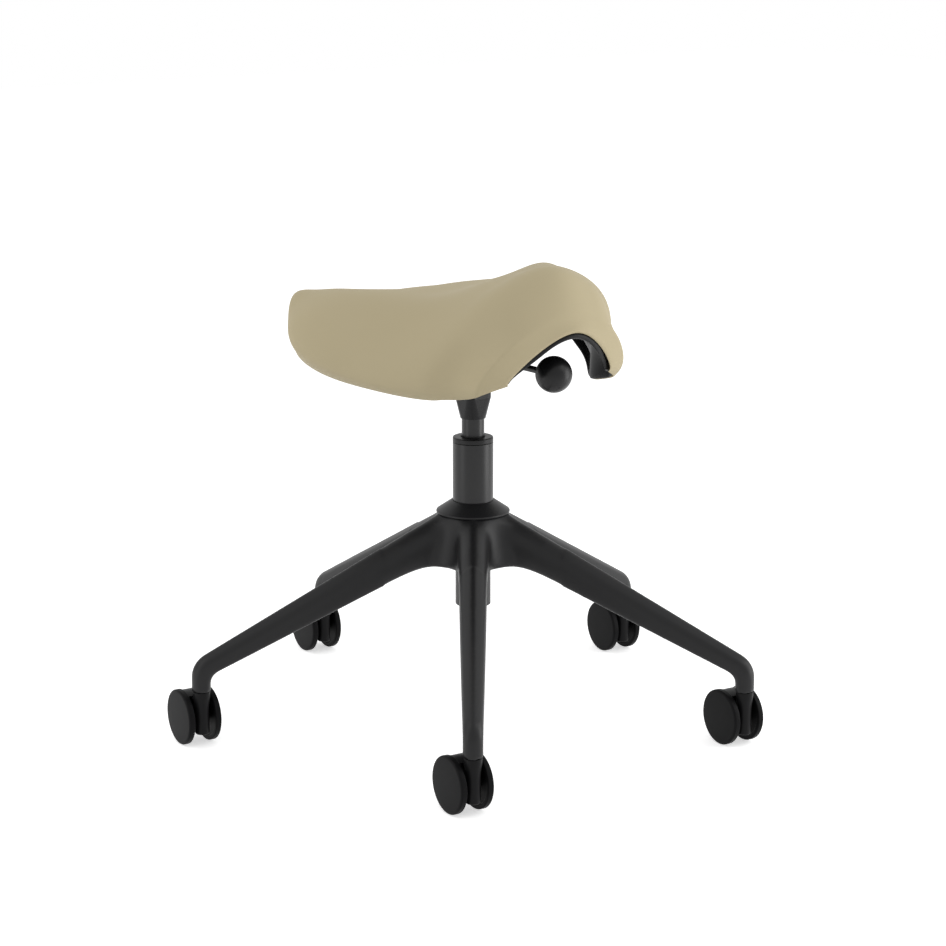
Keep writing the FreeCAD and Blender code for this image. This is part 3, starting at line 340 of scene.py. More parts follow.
def upholstery_vinyl():
    """Coated upholstery: a fine pressed pebble, matt, with faint tone changes where it is stretched."""
    material = bpy.data.materials.new("UpholsteryVinyl")
    material.use_nodes = True
    tree = material.node_tree
    tree.nodes.clear()
    where = add_node(tree, "ShaderNodeTexCoord")
    pebble = add_node(tree, "ShaderNodeTexVoronoi", {"Vector": where.outputs["Object"]},
                      Scale=1 / (1.1 * MM), feature="SMOOTH_F1", Smoothness=0.6)
    pores = add_node(tree, "ShaderNodeTexNoise", {"Vector": where.outputs["Object"]},
                     Scale=1 / (0.5 * MM), Detail=2.0)
    broad = add_node(tree, "ShaderNodeTexNoise", {"Vector": where.outputs["Object"]}, Scale=7.0, Detail=3.0)
    tint = add_node(tree, "ShaderNodeMix", {0: broad.outputs["Fac"]}, data_type="RGBA")
    tint.inputs[6].default_value = linear("#ADA182")
    tint.inputs[7].default_value = linear("#B4A889")
    height = add_node(tree, "ShaderNodeMath", {
        0: pebble.outputs["Distance"], 1: pores.outputs["Fac"]}, operation="ADD")
    rough = add_node(tree, "ShaderNodeMapRange", {"Value": pebble.outputs["Distance"]}, To_Min=0.62, To_Max=0.78)
    bump = add_node(tree, "ShaderNodeBump", {"Height": height.outputs[0]}, Distance=0.05 * MM, Strength=0.5)
    shader = add_node(tree, "ShaderNodeBsdfPrincipled", {
        "Base Color": tint.outputs[2], "Roughness": rough.outputs[0], "Normal": bump.outputs[0]},
        IOR=1.45, Specular_IOR_Level=0.3, Sheen_Weight=0.04, Sheen_Roughness=0.5)
    add_node(tree, "ShaderNodeOutputMaterial", {"Surface": shader.outputs[0]})
    return material


MATERIALS = {
    "upholstery": upholstery_vinyl(),
    # glass-filled nylon from a spark-eroded mould: even, satin, no pattern at arm's length
    "base_nylon": surface("GlassFilledNylon", "#171718", "#1B1B1C", 0.40, 0.9, 0.015, IOR=1.53,
                          Specular_IOR_Level=0.22),
    # powder-coated steel tube: slight orange peel, softer highlight
    "tube_paint": surface("PowderCoatedSteel", "#161617", "#1A1A1B", 0.33, 1.6, 0.012, IOR=1.5,
                          Specular_IOR_Level=0.35),
    # ground and blackened cylinder: the finest grain, a clear narrow highlight
    "cylinder_black": surface("GroundBlackCylinder", "#161617", "#1A1A1B", 0.30, 0.6, 0.006, IOR=1.5,
                              Specular_IOR_Level=0.35),
    # painted die casting: near black and the smoothest of the painted parts
    "housing_black": surface("DieCastPainted", "#0E0E0F", "#121213", 0.27, 1.1, 0.006, IOR=1.5,
                             Specular_IOR_Level=0.2),
    # painted pressed steel and rod: a dull, slightly uneven coat
    "plate_paint": surface("PaintedPressedSteel", "#191919", "#1E1E1E", 0.45, 1.3, 0.02, IOR=1.5,
                           Specular_IOR_Level=0.3),
    "lever_paint": surface("PaintedRod", "#131313", "#171717", 0.35, 1.0, 0.01, IOR=1.5, Specular_IOR_Level=0.3),
    # moulded ball: even satin black with a soft round highlight
    "knob_plastic": surface("MouldedPhenolicBall", "#101011", "#141415", 0.34, 0.8, 0.006, IOR=1.55,
                            Specular_IOR_Level=0.22),
    # moulded polypropylene with a pressed texture: dull, hardly a highlight
    "shell_plastic": surface("TexturedPolypropylene", "#111112", "#151516", 0.48, 0.7, 0.03, IOR=1.49,
                             Specular_IOR_Level=0.15),
    # moulded nylon of housings and wheels: matt and almost black
    "caster_plastic": surface("MouldedNylonCaster", "#0E0E0F", "#121213", 0.42, 0.8, 0.015, IOR=1.53,
                              Specular_IOR_Level=0.10),
    "wheel_nylon": surface("MouldedNylonWheel", "#0D0D0E", "#111112", 0.45, 0.8, 0.015, IOR=1.53,
                           Specular_IOR_Level=0.06),
    # bare steels: ground is brighter, zinc plate is duller and bluer
    "ground_steel": surface("GroundSteel", "#B9B9BA", "#C6C6C7", 0.24, 0.4, 0.004, metallic=1.0),
    "zinc_steel": surface("ZincPlatedSteel", "#A9ABAE", "#B8BABD", 0.36, 0.7, 0.006, metallic=1.0),
    # hidden plastic and rubber: satin black, and dull black with no clear highlight
    "bushing_plastic": surface("BlackAcetal", "#141415", "#19191A", 0.40, 0.8, 0.01, IOR=1.48,
                               Specular_IOR_Level=0.3),
    "bumper_rubber": surface("MouldedRubber", "#141414", "#181818", 0.70, 0.6, 0.03, IOR=1.52,
                             Specular_IOR_Level=0.3),
}


# What repeats in a ring or a row

def number_input(tree, name, value, kind="NodeSocketFloat"):
    socket = tree.interface.new_socket(name=name, in_out="INPUT", socket_type=kind)
    socket.default_value = value
    return socket


def ring_of_blocks(name, count, inner, outer, thickness, low, high, material):
    """Blocks that stand in a ring about Z like spokes, by geometry nodes; lengths in metres."""
    tree = bpy.data.node_groups.new(name, "GeometryNodeTree")
    number_input(tree, "Count", 6, "NodeSocketInt")
    for label in ("Inner radius", "Outer radius", "Thickness", "Low", "High"):
        number_input(tree, label, 0.01)
    tree.interface.new_socket(name="Geometry", in_out="OUTPUT", socket_type="NodeSocketGeometry")
    given = add_node(tree, "NodeGroupInput").outputs

    def sum_of(operation, first, second):
        return add_node(tree, "ShaderNodeMath", {0: first, 1: second}, operation=operation).outputs[0]

    length = sum_of("SUBTRACT", given["Outer radius"], given["Inner radius"])
    height = sum_of("SUBTRACT", given["High"], given["Low"])
    twice_middle = sum_of("ADD", given["Outer radius"], given["Inner radius"])
    twice_level = sum_of("ADD", given["High"], given["Low"])
    half = add_node(tree, "ShaderNodeMath", {0: twice_middle}, operation="MULTIPLY")
    half.inputs[1].default_value = 0.5
    level = add_node(tree, "ShaderNodeMath", {0: twice_level}, operation="MULTIPLY")
    level.inputs[1].default_value = 0.5
    size = add_node(tree, "ShaderNodeCombineXYZ", {"X": length, "Y": given["Thickness"], "Z": height})
    block = add_node(tree, "GeometryNodeMeshCube", {"Size": size.outputs[0]})
    circle = add_node(tree, "GeometryNodeMeshCircle", {"Vertices": given["Count"], "Radius": half.outputs[0]})
    lift = add_node(tree, "ShaderNodeCombineXYZ", {"Z": level.outputs[0]})
    raised = add_node(tree, "GeometryNodeTransform", {
        "Geometry": circle.outputs[0], "Translation": lift.outputs[0]})
    spot = add_node(tree, "GeometryNodeInputPosition")
    flat = add_node(tree, "ShaderNodeVectorMath", {0: spot.outputs[0]}, operation="MULTIPLY")
    flat.inputs[1].default_value = (1, 1, 0)
    facing = add_node(tree, "FunctionNodeAlignRotationToVector", {"Vector": flat.outputs[0]},
                      axis="X", pivot_axis="Z")
    copies = add_node(tree, "GeometryNodeInstanceOnPoints", {
        "Points": raised.outputs[0], "Instance": block.outputs[0], "Rotation": facing.outputs[0]})
    real = add_node(tree, "GeometryNodeRealizeInstances", {0: copies.outputs[0]})
    painted = add_node(tree, "GeometryNodeSetMaterial", {"Geometry": real.outputs[0]}, Material=material)
    add_node(tree, "NodeGroupOutput", {0: painted.outputs[0]})
    thing = shown(name, bpy.data.meshes.new(name))
    repeat = thing.modifiers.new("ring", "NODES")
    repeat.node_group = tree
    sizes = {"Count": count, "Inner radius": inner, "Outer radius": outer, "Thickness": thickness,
             "Low": low, "High": high}
    for item in tree.interface.items_tree:
        if item.in_out == "INPUT":
            repeat[item.identifier] = sizes[item.name]
    return baked(thing, name)


# Padded seat. Rows run from the rear edge over the nose to the edge of the arch; a row is flat and
# leans forward. Places are shares of the seat's length, widths of its half width and heights of its
# rise above the wings' feet.

SEAT_LENGTH = 320 * MM
SEAT_HALF_WIDTH = 232 * MM
SEAT_FOOT = 438 * MM
SEAT_RISE = 152 * MM
SEAT_ROW_SHARES = np.array([
    # place, lean, centre, shoulder, half width, widest, rim width, rim height, fullness, lip
    (-0.48, 0.00, 0.55, 0.54, 0.33, 0.49, 0.96, 0.43, 0.26, 0.00),
    (-0.45, 0.00, 0.58, 0.58, 0.45, 0.50, 0.97, 0.36, 0.45, 0.00),
    (-0.39, 0.03, 0.61, 0.59, 0.63, 0.51, 0.97, 0.29, 0.68, 0.00),
    (-0.32, 0.05, 0.59, 0.67, 0.83, 0.66, 0.95, 0.31, 0.88, 0.00),
    (-0.23, 0.09, 0.58, 0.745, 0.94, 0.55, 0.94, 0.26, 0.98, 0.00),
    (-0.09, 0.09, 0.735, 0.73, 1.01, 0.39, 0.85, 0.14, 1.00, 0.00),
    (0.08, 0.09, 0.77, 0.65, 0.88, 0.23, 0.86, 0.06, 1.00, 0.00),
    (0.24, 0.14, 0.885, 0.59, 0.73, 0.15, 0.87, 0.01, 1.00, 0.00),
    (0.36, 0.22, 0.95, 0.62, 0.64, 0.15, 0.87, 0.00, 1.00, 0.00),
    (0.45, 0.33, 1.00, 0.66, 0.58, 0.15, 0.90, 0.01, 0.95, 0.00),
    (0.53, 0.43, 0.92, 0.64, 0.50, 0.16, 0.93, 0.02, 0.82, -0.10),
    (0.58, 0.48, 0.72, 0.49, 0.46, 0.17, 0.98, 0.055, 0.55, 0.25),
    (0.59, 0.48, 0.62, 0.42, 0.43, 0.17, 0.99, 0.09, 0.30, 0.90),
    (0.61, 0.46, 0.56, 0.37, 0.34, 0.19, 0.97, 0.145, 0.12, 0.15),
])
LAST_ROW = len(SEAT_ROW_SHARES) - 1
SHOULDER_SHARE = 0.72
CROWN_SHARE = 0.28
RIM = 1.9
CURVE_PLACES = np.array([-RIM, -1.55, -1.0, -0.5, 0, 0.5, 1.0, 1.55, RIM])
CUSHION_DEPTHS = np.array([38, 34, 25, 9]) * MM
LIP_HEIGHT = 7.5 * MM
LIP_SPREAD = np.array([(0, 0.25), (0.65, 0.62), (1.1, 1.0), (1.45, 1.0), (RIM, 0.15)])
SEAT_GAP = 0.3 * MM
SHELL_THICKNESS = 5 * MM
SHELL_BEAD = 2.5 * MM
SLOPE_STEP = 0.02
row_shares = spline(range(LAST_ROW + 1), SEAT_ROW_SHARES)
lip_spread = spline(LIP_SPREAD[:, 0], LIP_SPREAD[:, 1:])


def seat_face(rows, numbers, depth=0.0, extra=0.0):
    """A grid of points: at depth 0 on the upholstery's outer face, at depth 1 on its inner face,
    and a further length inside that. Numbers run from -RIM on one rim to RIM on the other."""
    rows = np.atleast_1d(np.asarray(rows, float))
    numbers = np.asarray(numbers, float)
    place, lean, centre, shoulder, half_width, widest, rim_width, rim_height, fullness, lip = row_shares(rows).T
    crown_z, shoulder_z, side_z, rim_z = (SEAT_FOOT + SEAT_RISE * s for s in (centre, shoulder, widest, rim_height))
    width = half_width * SEAT_HALF_WIDTH
    shoulder_x = SHOULDER_SHARE * width
    between_z = crown_z - (crown_z - shoulder_z) * CROWN_SHARE
    crown, slanted, side, rim = (full * fullness * depth for full in CUSHION_DEPTHS)
    slanted = slanted + extra
    half = [
        (width * rim_width - rim - extra, rim_z + 0.1 * rim),
        (width - side - extra, side_z - 0.35 * (side + extra)),
        (shoulder_x - 0.35 * slanted, shoulder_z - 0.94 * slanted),
        (shoulder_x / 2 - 0.1 * crown, between_z - crown - extra),
        (0 * width, crown_z - crown - extra),
    ]
    whole = [(-x, z) for x, z in half] + half[-2::-1]
    curve = spline(CURVE_PLACES, [np.concatenate([x, z]) for x, z in whole])
    across, up = np.split(curve(numbers), 2, axis=1)
    ahead_across, ahead_up = np.split(curve(numbers + SLOPE_STEP), 2, axis=1)
    run, climb = ahead_across - across, ahead_up - up
    swell = lip * LIP_HEIGHT * (1 - depth) * lip_spread(np.abs(numbers)) / np.hypot(run, climb)
    across = across - climb * swell
    up = up + run * swell
    along = lean * (crown_z - up) - place * SEAT_LENGTH
    return np.stack([across, along, up], axis=-1).transpose(1, 0, 2)


def capped_rings(outer, inner, bulge, end_steps=6, tip_steps=9):
    """Rings round a layer between two grids of points, with rolled rims and rolled ends."""
    middle = (outer + inner) / 2
    half = (outer - inner) / 2
    sideways = {0: middle[:, 0] - middle[:, 1], -1: middle[:, -1] - middle[:, -2]}
    rings = []
    for row in range(len(outer)):
        caps = []
        for side in (-1, 0):
            out = sideways[side][row] / np.linalg.norm(sideways[side][row])
            reach = np.linalg.norm(half[row, side])
            turns = np.linspace(0, math.pi, tip_steps)[1:-1, None]
            turned_half = half[row, side] * np.cos(turns) if side else -half[row, side] * np.cos(turns)
            caps.append(middle[row, side] + turned_half + out * reach * np.sin(turns))
        rings.append(np.vstack([outer[row], caps[0], inner[row, ::-1], caps[1]]))
    count = len(outer[0])
    for first, second in ((0, 1), (-1, -2)):
        ring = rings[first]
        core = np.vstack([middle[first], np.repeat(middle[first, -1:], tip_steps - 2, 0), middle[first, ::-1],
                          np.repeat(middle[first, :1], tip_steps - 2, 0)])
        step = middle[first] - middle[second]
        step = step / np.linalg.norm(step, axis=1)[:, None] * np.linalg.norm(half[first], axis=1)[:, None] * bulge
        out = np.vstack([step, np.repeat(step[-1:], tip_steps - 2, 0), step[::-1],
                         np.repeat(step[:1], tip_steps - 2, 0)])
        ends = []
        for turn in np.linspace(0, math.pi / 2, end_steps + 1)[1:]:
            ends.append(core + (ring - core) * math.cos(turn) + out * math.sin(turn))
        rings = ends[::-1] + rings if first == 0 else rings + ends
    return rings, count


def layer(name, outer, inner, bulge=1.0):
    """A closed layer of the seat between two faces."""
    rings, count = capped_rings(outer, inner, bulge)
    around = len(rings[0])
    faces = []
    for r in range(len(rings) - 1):
        here, there = r * around, (r + 1) * around
        faces += [(here + i, here + (i + 1) % around, there + (i + 1) % around, there + i) for i in range(around)]
    tips = around // 2 - count
    for start in (0, (len(rings) - 1) * around):
        for i in range(count - 1):
            back = start + 2 * count + tips - 1 - i
            faces.append((start + i, start + i + 1, back - 1, back))
    return mesh_object(name, np.vstack(rings), faces)


def gathered_rows(first, last, count, share):
    """Rows that lie closer together towards both ends."""
    even = np.linspace(0, 1, count)
    eased = (1 - np.cos(math.pi * even)) / 2
    return first + (last - first) * (even * (1 - share) + eased * share)


CUSHION_ROWS = 150
CUSHION_NUMBERS = 121
SHELL_ROWS = 130
SHELL_NUMBERS = 97
SHELL_FIRST_ROW = 0.35
SHELL_RECESS = 4 * MM
SHELL_FOOT_SHARE = 0.14
SHELL_FOOT_THINNING = 0.45
BOSS_SPOTS = [(side * 60 * MM, end * 42 * MM) for side in (-1, 1) for end in (-1, 1)]
BOSS_RADIUS = 11
BOSS_FOOT = 490
MOULD_HOLES = ((7.05, 1.80), (7.05, -1.80))


def eased(share):
    share = np.clip(share, 0, 1)
    return share ** 2 * (3 - 2 * share)


def make_cushion():
    """Upholstered pad: crowned along the middle, rolled at its rims, with a swollen lip round the arch."""
    rows = gathered_rows(0, LAST_ROW, CUSHION_ROWS, 0.5)
    numbers = np.linspace(-RIM, RIM, CUSHION_NUMBERS)
    cushion = layer("cushion_cover", seat_face(rows, numbers), seat_face(rows, numbers, 1.0))
    return finished(cushion, MATERIALS["upholstery"], "upholstery", "seat", "cushion")


def shell_face(rows, numbers, extra):
    """A face of the shell, which ends a little short of the upholstery at the feet of the arch."""
    shorter = 1 - SHELL_FOOT_SHARE * eased((rows - LAST_ROW + 2) / 2)
    return np.concatenate([seat_face([r], numbers * k, 1.0, e) for r, k, e in zip(rows, shorter, extra)])


def shell_faces(rows, numbers):
    """The shell's two faces: a bead at the arch's edge, which draws back and thins towards the feet."""
    near_edge = eased((rows - LAST_ROW + 0.75) / 0.5)
    outer = shell_face(rows, numbers, SEAT_GAP + 0.5 * MM * near_edge)
    inner = shell_face(rows, numbers, SEAT_GAP + SHELL_THICKNESS + SHELL_BEAD * near_edge)
    near_foot = np.outer(eased((rows - LAST_ROW + 2) / 2), eased((np.abs(numbers) - 0.9) / 0.9))
    inner = outer + (inner - outer) * (1 - SHELL_FOOT_THINNING * near_foot[..., None])
    outer[..., 1] += SHELL_RECESS * near_foot
    inner[..., 1] += SHELL_RECESS * near_foot
    return outer, inner


def make_bosses(inner_face):
    """Bosses with gussets, from the seat plate up into the shell."""
    made = []
    for x, y in BOSS_SPOTS:
        nearest = np.argmin(np.hypot(inner_face[..., 0] - x, inner_face[..., 1] - y))
        top = inner_face.reshape(-1, 3)[nearest, 2] / MM + 2
        boss = turned("boss", [
            (0, BOSS_FOOT, 0), (BOSS_RADIUS, BOSS_FOOT, 1), (BOSS_RADIUS, top, 0), (0, top, 0)], 48)
        gussets = ring_of_blocks("gussets", 6, (BOSS_RADIUS - 1) * MM, (BOSS_RADIUS + 6) * MM, 1.8 * MM,
                                 (BOSS_FOOT + 4) * MM, top * MM, MATERIALS["shell_plastic"])
        made.append(placed(joined("boss", boss, gussets), Matrix.Translation((x, y, 0))))
    return made


def make_shell():
    """Moulded shell under the upholstery, with a rolled edge that shows round the arch."""
    rows = gathered_rows(SHELL_FIRST_ROW, LAST_ROW, SHELL_ROWS, 0.5)
    numbers = np.linspace(-RIM, RIM, SHELL_NUMBERS)
    outer_face, inner_face = shell_faces(rows, numbers)
    shell = layer("shell", outer_face, inner_face)
    holes = []
    for row, number in MOULD_HOLES:
        spot = seat_face([row], [number], 1.0, SEAT_GAP + SHELL_THICKNESS)[0, 0]
        outward = seat_face([row], [number], 1.0, SEAT_GAP)[0, 0] - spot
        hole = turned("hole", [(0, -4, 0), (1.9, -4, 0), (1.9, 3.2, 0), (0, 3.2, 0)], 24)
        turn = Vector(outward).to_track_quat("Z", "Y").to_matrix().to_4x4()
        holes.append(placed(hole, Matrix.Translation(Vector(spot)) @ turn))
    shell = with_holes(shell, "shell", *holes)
    shell.data.shade_smooth()
    shell.data.set_sharp_from_angle(angle=math.radians(50))
    shell = joined("seat_shell_moulding", shell, *make_bosses(inner_face))
    return finished(shell, MATERIALS["shell_plastic"], "shell_plastic", "seat", "seat_shell")


# Star base. A leg lies between the line of its ridge and the line of its foot edges, in millimetres
# out from the column and up from the floor, with an elbow down to the caster.

RIDGE_START = (43.0, 270.0)
RIDGE_SLOPE = -27.4
RIDGE_ELBOW = 30.0
FOOT_SLOPE = -23.5
FOOT_ELBOW = 17.5
LEG_REACH = 346.0
TIP_RADIUS = 11.8
TIP_FOOT = 70.4
LEG_AZIMUTHS = [-127.0 + 72.0 * index for index in range(5)]
# Half width of a leg by the distance from the column
LEG_WIDTHS = ((34, 21.0), (75, 18.8), (118, 17.2), (200, 15.5), (290, 13.4), (330, 12.3), (346, 11.8))
# Half a section from the ridge round the shoulder and down the side to the foot's edge
RIDGED_HALF = ((0, 1), (0.10, 0.985), (0.45, 0.79), (0.80, 0.57), (0.95, 0.36), (1, 0.05), (0.985, -0.45),
               (0.93, -0.86), (0.80, -1), (0.4, -1), (0, -1))


def elbow_line(start, slope, vertical_x, radius, foot, bend_steps=12, straight_steps=26):
    """Points down a slope, round an elbow and straight down, with a share of each stretch."""
    angle = math.radians(slope)
    corner = (vertical_x, start[1] + (vertical_x - start[0]) * math.tan(angle))
    turn = math.pi / 2 + angle
    reach = radius * math.tan(turn / 2)
    first = (corner[0] - reach * math.cos(angle), corner[1] - reach * math.sin(angle))
    points = [(start[0] + (first[0] - start[0]) * t, start[1] + (first[1] - start[1]) * t)
              for t in np.linspace(0, 1, straight_steps)]
    centre = (vertical_x - radius, corner[1] - reach)
    for step in range(1, bend_steps + 1):
        swung = math.pi / 2 + angle - turn * step / bend_steps
        points.append((centre[0] + radius * math.cos(swung), centre[1] + radius * math.sin(swung)))
    for t in np.linspace(0, 1, 6)[1:]:
        points.append((vertical_x, centre[1] + (foot - centre[1]) * t))
    return np.array(points)


def leg_lines():
    """The ridge line and the foot line of a leg, point for point."""
    hub_reach = 20.0
    slope = math.tan(math.radians(RIDGE_SLOPE))
    ridge_start = (hub_reach, RIDGE_START[1] + (hub_reach - RIDGE_START[0]) * slope)
    ridge = elbow_line(ridge_start, RIDGE_SLOPE, LEG_REACH + TIP_RADIUS - 0.4, RIDGE_ELBOW, TIP_FOOT)
    foot_slope = math.tan(math.radians(FOOT_SLOPE))
    foot_start = (hub_reach, 142.0 + (hub_reach - 217.5) * foot_slope)
    foot = elbow_line(foot_start, FOOT_SLOPE, LEG_REACH - TIP_RADIUS, FOOT_ELBOW, TIP_FOOT)
    # near the hub the foot line levels out into the arches between the legs
    level = 206.0
    drop = foot[:, 1] - level
    softness = 5.0
    foot[:, 1] = level - softness * np.log1p(np.exp(-drop / softness))
    return ridge, foot


def leg_ring(ridge_point, foot_point, half_width, roundness, per_side=8):
    """A closed section between the ridge and the foot, from ridged to round."""
    half = np.array(RIDGED_HALF, float)
    lengths = np.concatenate([[0], np.cumsum(np.hypot(*np.diff(half, axis=0).T))])
    even = np.linspace(0, lengths[-1], 2 * per_side + 1)
    ridged = np.column_stack([np.interp(even, lengths, half[:, 0]), np.interp(even, lengths, half[:, 1])])
    angle = np.linspace(0, math.pi, 2 * per_side + 1)
    rounded = np.column_stack([np.sin(angle), np.cos(angle)])
    shape = ridged * (1 - roundness) + rounded * roundness
    ring = np.vstack([shape, shape[-2:0:-1] * (-1, 1)])
    centre = (ridge_point + foot_point) / 2
    upward = (ridge_point - foot_point) / 2
    spots = centre + ring[:, 1:] * upward
    return np.column_stack([spots[:, 0], ring[:, 0] * half_width, spots[:, 1]]) * MM


def leg_solid():
    ridge, foot = leg_lines()
    reaches = (ridge[:, 0] + foot[:, 0]) / 2
    widths = np.interp(reaches, *np.array(LEG_WIDTHS).T)
    bend = np.clip((np.arange(len(ridge)) - 24) / 16, 0, 1)
    roundness = bend ** 2 * (3 - 2 * bend)
    rings = [leg_ring(r, f, w, k) for r, f, w, k in zip(ridge, foot, widths, roundness)]
    return ringed("leg", rings)


HUB_TOP = 269.0
HUB_RADIUS = 43.0
WEB_FOOT = 205.5
WEB_HOLLOW_RADIUS = 40.0
WEB_HALF_WIDTH = 17.5


def web_reach(angle_from_leg, height):
    """How far out the web stands between two legs, in millimetres."""
    climb = (height - WEB_FOOT) / (HUB_TOP - WEB_FOOT)
    out = (WEB_HALF_WIDTH + WEB_HOLLOW_RADIUS) / math.sin(math.pi / 5)
    hollow = WEB_HOLLOW_RADIUS + climb * (out - HUB_RADIUS - WEB_HOLLOW_RADIUS)
    under_ridge = HUB_RADIUS + (HUB_TOP - 4 - height) / math.tan(math.radians(-RIDGE_SLOPE))
    most = min(100.0, max(under_ridge, HUB_RADIUS))
    aside = math.pi / 5 - abs(angle_from_leg)
    reach_squared = hollow ** 2 - (out * math.sin(aside)) ** 2
    if reach_squared <= 0:
        return most
    return min(most, out * math.cos(aside) - math.sqrt(reach_squared))


def web_solid(steps=200, levels=16):
    rings = []
    for height in np.linspace(WEB_FOOT, HUB_TOP - 1, levels):
        ring = []
        for step in range(steps):
            angle = 2 * math.pi * step / steps
            from_leg = (angle + math.pi / 5) % (2 * math.pi / 5) - math.pi / 5
            reach = web_reach(from_leg, height)
            ring.append((reach * math.cos(angle) * MM, reach * math.sin(angle) * MM, height * MM))
        rings.append(np.array(ring))
    return placed(ringed("web", rings), Matrix.Rotation(math.radians(LEG_AZIMUTHS[0]), 4, "Z"))


LEG_WALL = 3.5


def channel_solid():
    """The open space under a leg, inside its walls."""
    ridge, foot = leg_lines()
    rings = []
    for index in range(6, 25, 2):
        reach = (ridge[index, 0] + foot[index, 0]) / 2
        half = np.interp(reach, *np.array(LEG_WIDTHS).T) - LEG_WALL
        along = (ridge[index] - foot[index]) / np.linalg.norm(ridge[index] - foot[index])
        roof = ridge[index] - along * 4 * LEG_WALL
        floor = foot[index] - along * 4 * LEG_WALL
        corners = [(roof, 0.6 * half), (roof, -0.6 * half), (floor, -0.86 * half), (floor, 0.86 * half)]
        rings.append(np.array([(spot[0] * MM, side * MM, spot[1] * MM) for spot, side in corners]))
    return ringed("channel", rings)


BASE_VOXEL = 2.2 * MM
BASE_SMOOTHING = 4
WEB_SMOOTHING = 22
RIB_THICKNESS = 3.0


def leg_ribs():
    """A long rib down a leg's channel and ones across it."""
    ridge, foot = leg_lines()
    half_rib = RIB_THICKNESS / 2
    made = []
    rings = []
    for index in range(6, 25, 3):
        along = (ridge[index] - foot[index]) / np.linalg.norm(ridge[index] - foot[index])
        high = ridge[index] - along * 3 * LEG_WALL
        low = foot[index] + along
        rings.append(np.array([(s[0] * MM, y * MM, s[1] * MM) for s, y in (
            (high, half_rib), (high, -half_rib), (low, -half_rib), (low, half_rib))]))
    made.append(ringed("long_rib", rings, 30))
    for index in range(8, 24, 3):
        reach = (ridge[index, 0] + foot[index, 0]) / 2
        side = 0.9 * np.interp(reach, *np.array(LEG_WIDTHS).T) - 1
        high = ridge[index, 1] - 4 * LEG_WALL
        low = foot[index, 1] + 1.5
        corners = [(side * 0.6, high), (-side * 0.6, high), (-side, low), (side, low)]
        rings = [np.array([((reach + end) * MM, y * MM, z * MM) for y, z in corners])
                 for end in (-half_rib, half_rib)]
        made.append(ringed("cross_rib", rings, 30))
    return joined("leg_ribs", *made)


def make_star_base():
    """Five legs, their webs and the hub as one moulding, with smooth hollows where they meet."""
    leg = leg_solid()
    turns = [Matrix.Rotation(math.radians(azimuth), 4, "Z") for azimuth in LEG_AZIMUTHS]
    parts = [copied(leg, "leg", turn) for turn in turns]
    parts.append(turned("hub", [
        (0, HUB_TOP, 0), (HUB_RADIUS - 3, HUB_TOP, 0), (HUB_RADIUS, HUB_TOP - 4, 0), (HUB_RADIUS, 226, 0),
        (46, 209, 6), (31, 202.5, 4), (0, 202.5, 0)]))
    parts.append(web_solid())
    bpy.data.objects.remove(leg)
    star = joined("star", *parts)
    remesh = star.modifiers.new("skin", "REMESH")
    remesh.mode = "VOXEL"
    remesh.voxel_size = BASE_VOXEL
    remesh.use_smooth_shade = True
    star = baked(star, "star")
    work = bmesh.new()
    work.from_mesh(star.data)
    flat_top = [v for v in work.verts if v.co.z > (HUB_TOP - 0.8) * MM]
    kept = set(flat_top)
    body = [v for v in work.verts if v not in kept and v.co.z > (TIP_FOOT + 4) * MM]
    near_hub = [v for v in body if v.co.xy.length < 120 * MM]
    for _ in range(BASE_SMOOTHING):
        bmesh.ops.smooth_vert(work, verts=body, factor=0.5, use_axis_x=True, use_axis_y=True, use_axis_z=True)
    for _ in range(WEB_SMOOTHING):
        bmesh.ops.smooth_vert(work, verts=near_hub, factor=0.5, use_axis_x=True, use_axis_y=True, use_axis_z=True)
    work.to_mesh(star.data)
    work.free()
    channel = channel_solid()
    star = with_holes(star, "star", *[copied(channel, "channel", turn) for turn in turns])
    bpy.data.objects.remove(channel)
    star.data.shade_smooth()
    star.data.set_sharp_from_angle(angle=math.radians(48))
    ribs = leg_ribs()
    all_ribs = [copied(ribs, "leg_ribs", turn) for turn in turns]
    bpy.data.objects.remove(ribs)
    star = joined("star_base_moulding", star, *all_ribs)
    return finished(star, MATERIALS["base_nylon"], "base_nylon", "base", "five_star_base")


# Column: turned pieces with the small rounded edges that catch the light

def make_column():
    tube = turned("column_tube_skin", [(19.9, 150, 0), (21.85, 150, 3), (21.85, 203, 0), (25, 269, 0), (25, 356, 0.4),
                                       (23, 356, 0.4), (23, 269, 0), (19.9, 203, 0)], 128)
    finished(tube, MATERIALS["tube_paint"], "tube_paint", "base", "column_tube")
    ring = turned("tube_cap_ring_skin", [(14.4, 356.3, 0.3), (25, 356.3, 0.8), (25, 362.7, 1.8), (15.4, 362.7, 0.8),
                                         (14.4, 361, 0.3)], 128)
    finished(ring, MATERIALS["base_nylon"], "base_nylon", "base", "tube_cap_ring")
    collar = turned("hub_collar_cone", [(25.3, 283, 0.3), (26.6, 283, 0.6), (45.4, 270.2, 0.9), (45.4, 268.2, 0.6),
                                        (43.6, 268.0, 0.3), (42.2, 269.3, 0), (25.3, 280.5, 0)], 128)
    finished(collar, MATERIALS["base_nylon"], "base_nylon", "base", "hub_collar")


# Height lever's ball

KNOB_RADIUS = 21.8
KNOB_SPOT = (0.0, -157 * MM, 464 * MM)


